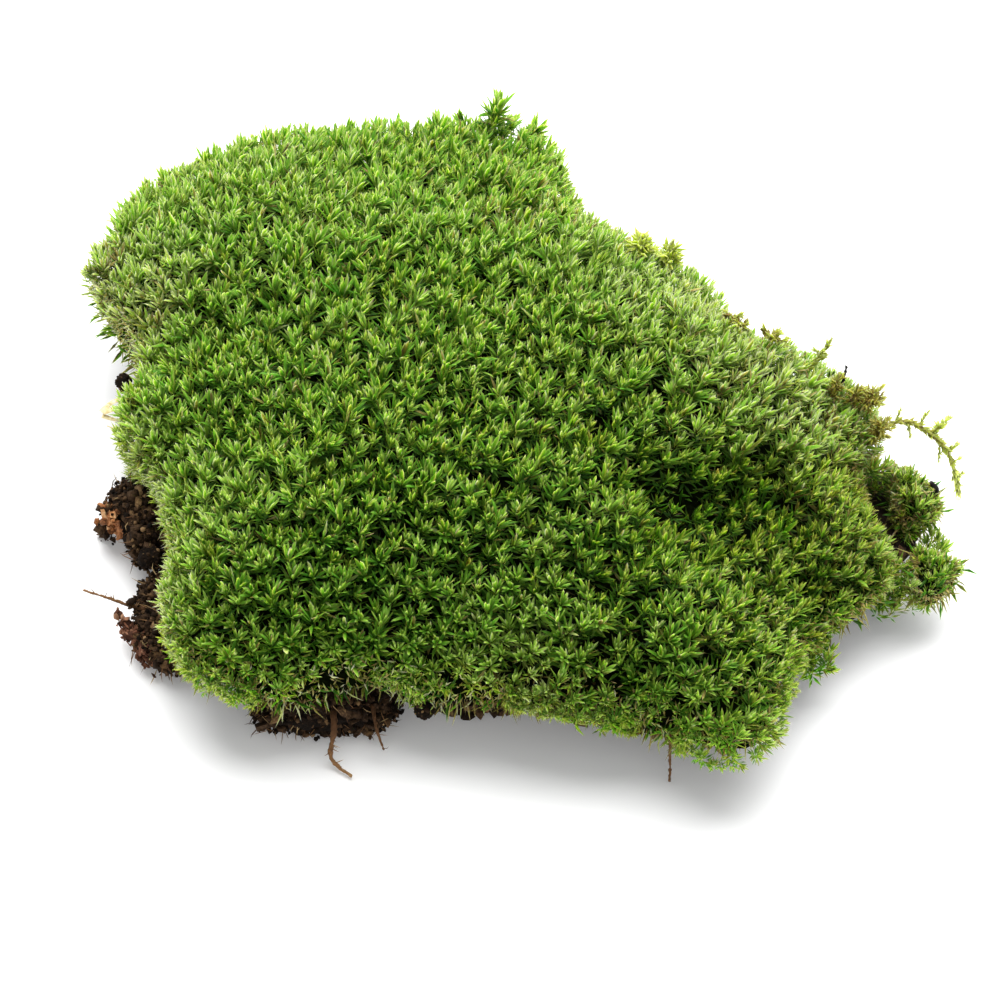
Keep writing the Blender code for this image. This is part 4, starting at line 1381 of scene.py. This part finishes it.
# For each bit: tones, direction of its fibres, how much longer they are than wide, noise in mm,
# and its size and place against the CAD solid.
BARKS = {
    "bark_chip": (BARK_TONES, (0.25, 0.1, 0.95), 2.0, ((4.0, 1.6), (1.6, 1.0), (0.7, 0.45)),
                  (0.95, 0.7, 0.72), (1.2, 1.2, 1.4)),
    "bark_flake": (FLAKE_TONES, (-0.47, 0.75, 0.45), 5.0, ((1.8, 0.8), (0.8, 0.4)),
                   (0.6, 0.85, 0.8), (0, 0, 0)),
}
BARK_CUTS = 5
BARK_ROUNDING = 0.2
BARK_SINK = 0.7  # the skin between the ridges lies this share of their height further in


def along_fibres(direction, stretch):
    """A matrix that squeezes space along the fibres, so that noise comes out stretched."""
    return Matrix.Scale(1 / stretch, 3, Vector(direction).normalized())


def bark_piece(node, direction, stretch, layers, size, shift):
    squeeze = along_fibres(direction, stretch)
    bm = welded(node)
    bmesh.ops.scale(bm, verts=bm.verts, vec=size, space=Matrix.Translation(-middle_of(bm)))
    bmesh.ops.translate(bm, verts=bm.verts, vec=Vector(shift) * MM)
    bmesh.ops.subdivide_edges(bm, edges=bm.edges, cuts=BARK_CUTS, use_grid_fill=True, smooth=BARK_ROUNDING)
    bm.normal_update()
    sink = BARK_SINK * sum(strength for _, strength in layers)
    moves = []
    for vert in bm.verts:
        spot = squeeze @ vert.co / MM
        push = sum(abs(noise.noise(spot / size)) * 2 * strength for size, strength in layers)
        moves.append(vert.normal * (push - sink) * MM)
    for vert, move in zip(bm.verts, moves):
        vert.co += move
        vert.co.z = max(vert.co.z, GROUND)
    return mesh_from(node + "_body", bm)


bark_meshes = {node: bark_piece(node, *form) for node, (_, *form) in BARKS.items()}
print("corners of the bark:", {node: len(mesh.vertices) for node, mesh in bark_meshes.items()})

# %% [markdown]
# The colour of bark runs along its grain too, in streaks. A Mapping node turns the place of each
# point so that the fibres stand upright, and a second one squeezes it along them. Noise that is
# read there comes out as long streaks, for the colour and for a fine bump.

# %% Bark finish
BARK_PATCH, BARK_GRAIN = 2.6, 0.5  # size in mm of the two noises of its colour
BROAD_BARK, FINE_BARK, BARK_SHIFT = 1.1, 0.6, 0.35  # and how far they move its tone


def bark_finish(node, tones, direction, stretch):
    finish = Finish(node, Specular_IOR_Level=0.3)
    turn = Vector(direction).to_track_quat("Z", "Y").inverted().to_euler()
    upright = finish.node("ShaderNodeMapping", {}, {"Vector": finish.place(), "Rotation": turn})
    fibres = finish.node("ShaderNodeMapping", {}, {"Vector": upright, "Scale": (1, 1, 1 / stretch)})
    broad = finish.clouds(BARK_PATCH, 4.0, fibres)
    fine = finish.clouds(BARK_GRAIN, 4.0, fibres)
    bumps = {"Height": fine, "Strength": 0.8, "Distance": BUMP_HEIGHT}
    tone = finish.ramp(broad * BROAD_BARK + fine * FINE_BARK - BARK_SHIFT, tones)
    return finish.wear(Base_Color=tone, Roughness=0.85, Normal=finish.node("ShaderNodeBump", {}, bumps))


for node, (tones, direction, stretch, *_) in BARKS.items():
    finish = bark_finish(node, tones, direction, stretch)
    add_piece(node + "_body", bark_meshes[node], finish, "bark", node)

# %% [markdown]
# The chip is rotten and falls to bits. The bits are crumbs like those of the clods, but flatter, and
# lie round the chip's side that touches the clod.

# %% Crumbling bits of the chip
CHIP_BITS = 70
CHIP_REACH = (3.4, 3.8, 3.8)
CHIP_SHIFT = (2.2, 2.0, 2.4)  # the bits lie this far from the chip's middle, towards the clod
CHIP_SIZES = (0.4, 1.5)
CHIP_STRETCH = (0.4, 1.1)
CHIP_TONES = (0.2, 0.9)
BARK_SEED = 37

chip_low, chip_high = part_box("bark_chip")
rng = np.random.default_rng(BARK_SEED)
middle = np.array((Vector(chip_low) + Vector(chip_high)) / 2) + np.array(CHIP_SHIFT) * MM
spots = middle + rng.normal(0, 0.5, (CHIP_BITS, 3)) * np.array(CHIP_REACH) * MM
bits = crumbs(spots, rng.uniform(*CHIP_SIZES, CHIP_BITS) * MM, rng, CHIP_STRETCH)
tone = rng.uniform(*CHIP_TONES, (CHIP_BITS, 1))
chip_bits = lump_finish("bark_bits", BARK_TONES, 2.0, 0.5, 0.8)
add_blades("bark_chip_bits", [(*bits, tone, FULL_LIGHT)], chip_bits, "bark", "bark_chip")

# %% [markdown]
# The flake splits along its fibres. So splinters lie along it, nearly in line with it, and small
# bits between them. Both are spread along the line from its foot to its head, with some scatter.

# %% Splinters of the flake
FLAKE_SHARDS = 50
FLAKE_BITS = 110
FLAKE_SCATTER = 0.85
SHARD_PART = (0.05, 0.8)  # where the splinters start along the flake
SHARD_FORM = ((1.2, 3.0), 0.4, (2, 30), 0.3)  # lengths and width in mm, degrees of lean, curl
SHARD_TONES = (0.3, 1.0)
BIT_PART = (0, 0.95)
BIT_SIZES = (0.35, 1.0)
BIT_STRETCH = (0.4, 1.3)
BIT_TONES = (0.1, 0.9)
SHARD_LIGHT = np.full((1, 1), 0.95)

flake_low, flake_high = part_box("bark_flake")
foot = np.array((flake_high[0], flake_low[1], flake_low[2]))
head = np.array((flake_low[0], flake_high[1], flake_high[2]))


def along_flake(part, count, rng):
    """Random spots near the line from the flake's foot to its head."""
    spots = foot + (head - foot) * rng.uniform(*part, (count, 1))
    return spots + rng.normal(0, FLAKE_SCATTER, (count, 3)) * MM


spots = along_flake(SHARD_PART, FLAKE_SHARDS, rng)
up = np.tile((head - foot) / np.linalg.norm(head - foot), (FLAKE_SHARDS, 1))
shards = laid_blades(ROOTLET, spots, up, *SHARD_FORM, rng)
shard_tone = rng.uniform(*SHARD_TONES, (FLAKE_SHARDS, 1))
spots = along_flake(BIT_PART, FLAKE_BITS, rng)
bits = crumbs(spots, rng.uniform(*BIT_SIZES, FLAKE_BITS) * MM, rng, BIT_STRETCH)
bit_tone = rng.uniform(*BIT_TONES, (FLAKE_BITS, 1))
batches = [(*shards, shard_tone, SHARD_LIGHT), (*bits, bit_tone, SHARD_LIGHT)]
shard_finish = grain_finish("flake_shards", FLAKE_TONES, SOIL_PAINTED_SHADE, 0.9)
add_blades("bark_flake_shards", batches, shard_finish, "bark", "bark_flake")

# %% [markdown]
# Roots, twigs and stems are tubes. A ring of edges is extruded along a smooth line, turned at each
# step with the line, and closed at both ends. The lines repeat the CAD drawing's own points, which
# were later moved so that the clump stands on its middle.

# %% Tubes along smooth lines
CENTRED = Vector((0.64, -3.69, 0.0))  # mm from the drawing's middle to the clump's own
WOBBLE_SIZE = 1.7 * MM


def smooth_line(points, step):
    """Points on a smooth line through a route of the drawing, about `step` mm apart, in metres."""
    route = [(Vector(point) + CENTRED) * MM for point in points]
    ends = [2 * route[0] - route[1], *route, 2 * route[-1] - route[-2]]
    line = [route[0]]
    for before, start, end, after in zip(ends, ends[1:], ends[2:], ends[3:]):
        count = max(2, round((end - start).length / (step * MM)) + 1)
        # With a sixth of the way between its neighbours, the curve runs smoothly through each point.
        leave, arrive = start + (end - before) / 6, end - (after - start) / 6
        line += interpolate_bezier(start, leave, arrive, end, count)[1:]
    return line


def grow_tube(line, radii, sides):
    """Extrudes a closed ring along a line. Radii are in metres, one for each point."""
    bm = bmesh.new()
    headings = [(after - before).normalized() for before, after in zip(line, line[1:])]
    headings.append(headings[-1])
    ring = bmesh.ops.create_circle(bm, segments=sides, radius=radii[0], cap_ends=True)["verts"]
    edges = list(bm.edges)
    start = Matrix.Translation(line[0]) @ headings[0].to_track_quat("Z", "Y").to_matrix().to_4x4()
    bmesh.ops.transform(bm, matrix=start, verts=ring)
    for index in range(1, len(line)):
        grown = bmesh.ops.extrude_edge_only(bm, edges=edges)["geom"]
        edges = [item for item in grown if isinstance(item, bmesh.types.BMEdge)]
        edges = [edge for edge in edges if all(vert in grown for vert in edge.verts)]
        ring = [item for item in grown if isinstance(item, bmesh.types.BMVert)]
        turn = headings[index - 1].rotation_difference(headings[index]).to_matrix().to_4x4()
        size = Matrix.Scale(radii[index] / radii[index - 1], 4)
        step = Matrix.Translation(line[index]) @ turn @ size @ Matrix.Translation(-line[index - 1])
        bmesh.ops.transform(bm, matrix=step, verts=ring)
    bmesh.ops.contextual_create(bm, geom=edges)
    return bm


def tube(line, start_radius, end_radius, sides=6, wobble=0.0):
    """A tapered tube, in mm radii, that swells and narrows a little."""
    radii = []
    for index, point in enumerate(line):
        share = index / (len(line) - 1)
        swell = 1 + wobble * noise.noise(point / WOBBLE_SIZE)
        radii.append(between((start_radius, end_radius), share) * swell * MM)
    bm = grow_tube(line, radii, sides)
    bmesh.ops.recalc_face_normals(bm, faces=bm.faces)
    return bm


def headings_at(line, places):
    """Where some points of a line are, and which way it runs on from each."""
    spots = np.array([line[index] for index in places])
    return spots, np.array([(line[index + 1] - line[index]).normalized() for index in places])


short_line = smooth_line(((0, 0, 5), (4, 0, 7), (8, 0, 5)), 1.0)
corners, faces = shape_of(tube(short_line, 1.0, 0.5))
print("a tube along", len(short_line), "points has", len(faces), "triangles")

# %% [markdown]
# Each root is a knobbly tube whose skin is roughened, with a few hair roots along it. The bits of
# litter, a dry stalk and a bent stub, are made in the same way and nearly black. Their tone changes
# from foot to tip, so each corner takes it from the nearest point of the line.

# %% Roots and litter
# For each: points, radius at its two ends in mm, tones from foot to tip, hair roots, finish slot.
STALKS = {
    "root_left": (((-80.0, -42.5, 7.0), (-86.5, -41.5, 8.0), (-92.0, -40.0, 9.0), (-98.5, -38.5, 10.5)),
                  0.62, 0.22, (0.25, 0.65), 7, "root"),
    "root_front": (((-41.5, -70.0, 9.0), (-41.2, -76.0, 8.0), (-42.0, -78.6, 3.6), (-40.8, -80.2, 1.5),
                    (-37.4, -82.7, 0.9)), 0.85, 0.28, (0.15, 0.8), 9, "root"),
    "rootlet_front": (((-33.0, -70.0, 9.5), (-32.0, -76.0, 8.5), (-30.5, -78.5, 4.6)),
                      0.5, 0.18, (0.2, 0.5), 5, "root"),
    "twig_front": (((30.5, -80.5, 17.0), (30.5, -82.5, 11.0), (30.8, -83.5, 5.0), (30.8, -84.0, 1.0)),
                   0.34, 0.26, (0.35, 0.5), 0, "root"),
    "dry_stalk": (((71.5, 6.5, 16.0), (72.5, 8.5, 24.0), (73.3, 9.0, 29.0), (73.6, 9.0, 33.5)),
                  0.34, 0.3, (0.05, 0.0), 4, "litter"),
    "litter_stub": (((89.0, -15.0, 12.5), (91.2, -15.0, 15.3), (93.6, -15.0, 17.6), (91.9, -15.0, 20.4)),
                    0.62, 0.5, (0.0, 0.0), 3, "litter"),
}
LITTER_TONES = ((0.0, colour(24, 20, 18)), (1.0, colour(86, 72, 58)))
HAIR_ROOT = ((0.0, 1.0), (0.5, 0.8), (1.0, 0.0))
HAIR_FORM = ((1.0, 2.6), 0.22, (35, 80), 0.6)  # lengths and width in mm, degrees of lean, curl
HAIR_PALER = 0.05
HAIR_START = 4  # no hair roots in the first quarter of a stalk
STALK_STEP = 0.45
STALK_SIDES = 8
STALK_WOBBLE = 0.5
STALK_NOISE = ((0.7, 0.22), (0.3, 0.12))
STALK_TONES = 0.08  # spread of the tones along a stalk
STALK_LIGHT = np.full((1, 1), 0.9)
STALK_SEED = 47
litter_finish = grain_finish("litter", LITTER_TONES, SOIL_PAINTED_SHADE, 0.6)
stalk_finishes = {"root": rootlet_finish, "litter": litter_finish}


def stalk_batches(points, start_radius, end_radius, tones, hairs, rng):
    line = smooth_line(points, STALK_STEP)
    core = tube(line, start_radius, end_radius, STALK_SIDES, STALK_WOBBLE)
    corners, faces = shape_of(roughened(core, STALK_NOISE))
    share = np.linspace(0, 1, len(line))
    nearest = np.linalg.norm(corners[:, None] - np.array(line)[None], axis=2).argmin(axis=1)
    tone = np.interp(share[nearest], (0, 1), tones) + rng.normal(0, STALK_TONES, len(corners))
    batches = [(corners[None], faces, np.clip(tone, 0, 1)[None], STALK_LIGHT)]
    if hairs:
        chosen = rng.integers(len(line) // HAIR_START, len(line) - 1, hairs)
        blades = laid_blades(HAIR_ROOT, *headings_at(line, chosen), *HAIR_FORM, rng)
        tone = rng.uniform(*sorted(tones), (hairs, 1)) + HAIR_PALER
        batches.append((*blades, tone, STALK_LIGHT))
    return batches


rng = np.random.default_rng(STALK_SEED)
for node, (*form, slot) in STALKS.items():
    add_blades(node + "_body", stalk_batches(*form, rng), stalk_finishes[slot], slot, node)

# %% [markdown]
# The straw is a blade of dry grass, split and curled back on itself. Each part is a flat ribbon: a
# tube of four sides that is squeezed thin.

# %% Straw
STRAW_TONES = ((0.0, colour(150, 118, 66)), (0.5, colour(214, 196, 142)), (1.0, colour(242, 234, 200)))
# For each part: points, and radius at its two ends in mm.
STRAWS = (
    (((-88.0, 8.7, 22.0), (-91.5, 8.8, 23.2), (-95.0, 7.2, 23.4), (-97.4, 4.9, 22.6)), 0.4, 0.7),
    (((-88.0, 6.4, 22.0), (-92.6, 6.0, 23.0), (-96.9, 4.8, 22.7)), 0.45, 0.75),
    (((-89.0, 3.6, 20.6), (-93.6, 3.5, 21.3), (-97.2, 4.3, 22.0)), 0.3, 0.65),
    (((-89.0, 2.0, 19.8), (-93.2, 1.4, 20.6), (-96.0, 2.0, 21.0)), 0.35, 0.15),
)
STRAW_STEP = 0.5
STRAW_TONE = 0.6
STRAW_SPREAD = 0.2
RIBBON_WOBBLE = 0.25
RIBBON_FLATNESS = 0.45
STRAW_SEED = 53
straw_finish = grain_finish("straw", STRAW_TONES, SOIL_PAINTED_SHADE, 0.5)


def ribbon(line, start_radius, end_radius):
    """A thin flat blade along a line, creased down its middle."""
    bm = tube(line, start_radius, end_radius, 4, RIBBON_WOBBLE)
    for vert in bm.verts:
        nearest = min(line, key=lambda point: (point - vert.co).length)
        away = vert.co - nearest
        away.z *= RIBBON_FLATNESS
        vert.co = nearest + away
    return bm


rng = np.random.default_rng(STRAW_SEED)
batches = []
for points, *radii in STRAWS:
    corners, faces = shape_of(ribbon(smooth_line(points, STRAW_STEP), *radii))
    tone = np.clip(STRAW_TONE + rng.normal(0, STRAW_SPREAD, len(corners)), 0, 1)
    batches.append((corners[None], faces, tone[None], FULL_LIGHT))
add_blades("straw_blade_body", batches, straw_finish, "straw", "straw_blade")

# %% [markdown]
# Another moss grows through the right end of the mat, a feather moss. Its stems creep and arch, with
# short branches to both sides, and tiny overlapping leaves cover both. The old stems are brown and
# olive, and the fresh ones yellow-green. Each stem is a thin tube, and its leaves are the same
# blades again, set in a spiral along it.

# %% Feather moss finish
FEATHER_TONES = (
    (0.0, colour(74, 54, 26)),
    (0.25, colour(132, 106, 40)),
    (0.45, colour(156, 152, 52)),
    (0.7, colour(172, 194, 62)),
    (1.0, colour(220, 234, 110)),
)
feather_finish = grain_finish("feather_moss", FEATHER_TONES, SOIL_PAINTED_SHADE, 0.5, shine=0.25, glow=0.7)
print("feather moss finish with", len(FEATHER_TONES), "tones")

# %% [markdown]
# One function makes a leafy stem, and it serves for the strand, the sprigs and all their branches.
# The leaves sit in a spiral, like those of the shoots, but they lie closer along the stem and shrink
# towards its tip. The function gives batches back, so that a whole sprig can be joined as one mesh.

# %% Leafy stems
FEATHER_LEAF = ((0.0, 0.0), (0.4, 1.0), (1.0, 0.0))
FEATHER_STEP = 0.6
LEAVES_A_STEP = 4
STEM_TAPER = 0.6
STEM_SIDES = 5
STEM_SHADE = (0.8, 0.7)  # the bare stem's tone beside its leaves', and its light
NOT_ALONG = (0.31, -0.62, 0.72)  # a direction that no stem follows
SPIRAL_STRAY = 0.4
LEAF_TAPER = ((0, 0.7, 1), (1, 1, 0.6))  # size of the leaves along the stem
LEAF_CLOSING = ((0.7, 1), (1, 0.45))  # and how far they lean, near its tip
FEATHER_SIZES = 0.15
FEATHER_LEANS = 10  # degrees that the leaves stray
FEATHER_THICK = 0.45  # beside a leaf's width
FEATHER_CURL = (-0.3, 0.3)
FEATHER_SPREAD = 0.08
FEATHER_LIGHT = (0.85, 1.0)
# Painted shade: a feather moss leaf's foot gets a darker colour than its tip.
FEATHER_FOOT_PAINTED_LIGHT = 0.75


def leafy(line, radius, leaf, lean, tones, rng):
    """A thin stem covered in small leaves: batches for one mesh. Sizes in mm, lean in degrees."""
    stem = shape_of(tube(line, radius, radius * STEM_TAPER, STEM_SIDES))
    stem_tone, stem_light = tones[0] * STEM_SHADE[0], STEM_SHADE[1]
    corners, faces = blade(FEATHER_LEAF)
    which = np.repeat(np.arange(len(line) - 1), LEAVES_A_STEP)
    count, share = len(which), which / (len(line) - 1)
    spots, along = headings_at(line, which)
    spots = spots + along * rng.uniform(0, FEATHER_STEP, (count, 1)) * MM
    across = unit(np.cross(along, NOT_ALONG))
    turn = (np.arange(count) * GOLDEN_ANGLE + rng.normal(0, SPIRAL_STRAY, count))[:, None]
    out = np.cos(turn) * across + np.sin(turn) * np.cross(along, across)
    taper = np.interp(share, *LEAF_TAPER) * rng.normal(1, FEATHER_SIZES, count) * MM
    leans = np.radians(rng.normal(lean, FEATHER_LEANS, count) * np.interp(share, *LEAF_CLOSING))
    length, width = leaf[0] * taper, leaf[1] * taper
    curl = rng.normal(*FEATHER_CURL, count)
    directions = (out, np.cross(along, out), along)
    points = bent_blades(corners, spots, *directions, length, width, width * FEATHER_THICK, leans, curl)
    tone = np.interp(share, (0, 1), tones) + rng.normal(0, FEATHER_SPREAD, count)
    light = rng.uniform(*FEATHER_LIGHT, (count, 1)) * between((FEATHER_FOOT_PAINTED_LIGHT, 1), corners[:, 2])
    return [
        (stem[0][None], stem[1], np.full((1, 1), stem_tone), np.full((1, 1), stem_light)),
        (points, faces, np.clip(tone, 0, 1)[:, None], light),
    ]


print("leaves on each mm of a stem:", round(LEAVES_A_STEP / FEATHER_STEP, 1))

# %% [markdown]
# The long strand arches off the right end of the mat and comes down to the table. Its branches
# stand off to both sides at the places that the photograph shows, and its end is a thick fresh tip.

# %% The long strand
# For each kind of stem: its radius, the length and width of its leaves, in mm, and their lean.
STRAND_STEM = (0.45, (1.9, 1.05), 46)
STRAND_TIP = (0.4, (2.0, 1.0), 48)
BRANCH_RADIUS, BRANCH_LEAF, BRANCH_LEAN = 0.24, (1.45, 0.75), 40
STRAND_TONES = (0.36, 0.68)
BRANCH_TONES = (0.7, 1.0)
FRESH_TONES = (0.9, 1.0)
TIP_PART = 0.8  # the thick tip starts this far along the strand
BRANCH_ARCH = 0.08
STRAND_SEED = 59
STRAND = ((78.0, 0.5, 17.5), (84.5, 3.0, 20.6), (90.0, 5.0, 18.8), (95.0, 4.6, 15.0),
          (98.6, 3.8, 10.8), (100.9, 1.3, 6.1), (102.0, -1.0, 1.4))
# Branches: how far along the strand, where the tip is from there and how long the leaves are, in mm.
STRAND_BRANCHES = (
    (0.24, (1.0, 1.4, 3.2), 0.8), (0.32, (1.0, -2.0, -2.6), 0.9), (0.42, (1.8, 1.6, 3.0), 1.0),
    (0.52, (4.0, 2.0, 3.2), 1.4), (0.55, (0.6, 2.2, 2.0), 1.3), (0.60, (0.2, -1.6, -4.6), 0.8),
    (0.70, (2.0, 1.4, 1.2), 1.2), (0.78, (1.7, 0.8, 0.9), 1.1), (0.88, (1.5, 0.6, 0.6), 1.1),
)


def branch_line(start, tip):
    """A short branch that leaves a point and bends up a little, in metres."""
    reach = Vector(tip) * MM
    end = start + reach
    middle = start + reach * 0.5 + Vector((0, 0, BRANCH_ARCH * reach.length))
    count = max(3, round(reach.length / (FEATHER_STEP * MM)))
    line = interpolate_bezier(start, start.lerp(middle, 0.6), middle.lerp(end, 0.4), end, count)
    for point in line:
        point.z = max(point.z, 2 * GROUND)
    return line


rng = np.random.default_rng(STRAND_SEED)
line = smooth_line(STRAND, FEATHER_STEP)
batches = leafy(line, *STRAND_STEM, STRAND_TONES, rng)
for share, tip, size in STRAND_BRANCHES:
    branch = branch_line(line[round(share * (len(line) - 1))], tip)
    leaf = (size * BRANCH_LEAF[0], size * BRANCH_LEAF[1])
    batches += leafy(branch, BRANCH_RADIUS, leaf, BRANCH_LEAN, BRANCH_TONES, rng)
batches += leafy(line[round(TIP_PART * len(line)):], *STRAND_TIP, FRESH_TONES, rng)
add_blades("feather_strand_body", batches, feather_finish, "feather_moss", "feather_strand")

# %% [markdown]
# The short sprigs stand in a row along the right edge. Each is a stem that comes up out of the mat,
# with leafy branches all round. Where the stem starts is found with a plumb line: a ray straight
# down onto the CAD mat.

# %% Short sprigs
# Where each leaves the mat, how far its tip stands off that, number and length of its branches,
# leaf length and width, tones.
SPRIGS = {
    "feather_sprig": ((67.0, 13.0), (3.2, 2.4, 3.8), 4, 2.2, (2.0, 1.0), (0.6, 0.95)),
    "feather_frond_1": ((70.5, 5.0), (1.0, 2.0, 5.6), 9, 2.0, (2.6, 0.8), (0.1, 0.5)),
    "feather_frond_2": ((75.0, 4.5), (1.2, 1.8, 5.6), 9, 2.0, (2.6, 0.8), (0.1, 0.5)),
    "feather_frond_3": ((78.5, 5.5), (2.0, 0.2, 4.8), 18, 4.0, (2.4, 0.8), (0.12, 0.58)),
    "feather_frond_4": ((79.5, -2.0), (2.6, 1.4, 5.0), 18, 4.0, (2.4, 0.8), (0.12, 0.58)),
    "yellow_sprig_1": ((27.0, 41.0), (0.8, 1.6, 3.0), 9, 3.4, (3.4, 1.5), (0.7, 1.0)),
    "yellow_sprig_2": ((33.5, 41.0), (1.2, 2.0, 3.6), 9, 3.4, (3.4, 1.5), (0.7, 0.95)),
    "yellow_sprig_3": ((47.6, 17.0), (3.4, -2.6, -0.6), 10, 2.6, (2.3, 1.0), (0.3, 0.85)),
    "yellow_sprig_4": ((56.3, 13.8), (3.0, -2.4, -0.8), 10, 2.6, (2.3, 1.0), (0.3, 0.85)),
}
SPRIG_ROOT = 3.0  # mm that the stem starts under the mat's skin
SPRIG_ARCH = (0.55, 0.12)  # how far along its middle is, and how far that leans out
SPRIG_STEM = 0.3, 34  # radius in mm, and lean of its leaves in degrees
TWIG_STEM = 0.18, 36
TWIG_START = (0.35, 0.9)  # where the branches leave the stem, from first to last
TWIG_REACH = (0.8, 0.5)  # and how long they are
TWIG_RISE = 0.5
TWIG_LEAF = 0.8  # their leaves are smaller, by this factor
SPRIG_SEED = 61
PLUMB_HEIGHT = 100.0  # the plumb line starts this far up, in mm, clear of everything

mat_solid = welded("moss_cushion")
mat_tree = BVHTree.FromBMesh(mat_solid)
mat_solid.free()


def on_mat(x, y):
    """The point of the mat's top under a place of the drawing, in mm of the drawing."""
    above = (Vector((x, y, PLUMB_HEIGHT)) + CENTRED) * MM
    return mat_tree.ray_cast(above, Vector((0, 0, -1)))[0] / MM - CENTRED


def sprig_batches(exit_point, rise, branches, reach, leaf, tones, rng):
    surface = on_mat(*exit_point)
    rise = Vector(rise)
    foot = surface - rise.normalized() * SPRIG_ROOT
    middle = surface + rise * SPRIG_ARCH[0] + Vector((rise.x, rise.y, 0)) * SPRIG_ARCH[1]
    line = smooth_line((foot, middle, surface + rise), FEATHER_STEP)
    (radius, lean), (twig_radius, twig_lean) = SPRIG_STEM, TWIG_STEM
    twig_leaf = (leaf[0] * TWIG_LEAF, leaf[1] * TWIG_LEAF)
    batches = leafy(line, radius, leaf, lean, tones, rng)
    for index in range(branches):
        share = index / branches
        start = line[round(between(TWIG_START, share) * (len(line) - 1))]
        turn = index * GOLDEN_ANGLE
        tip = Vector((math.cos(turn), math.sin(turn), TWIG_RISE)) * reach * between(TWIG_REACH, share)
        batches += leafy(branch_line(start, tip), twig_radius, twig_leaf, twig_lean, tones, rng)
    return batches


rng = np.random.default_rng(SPRIG_SEED)
for node, settings in SPRIGS.items():
    batches = sprig_batches(*settings, rng)
    add_blades(node + "_body", batches, feather_finish, "feather_moss", node)

# %% Finish
VISUAL_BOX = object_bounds()
sizes = {"cad": [list(corner) for corner in CAD_BOX], "visual": [list(corner) for corner in VISUAL_BOX]}
print("visual box in mm:", [round(side / MM, 1) for side in VISUAL_BOX[1] - VISUAL_BOX[0]])
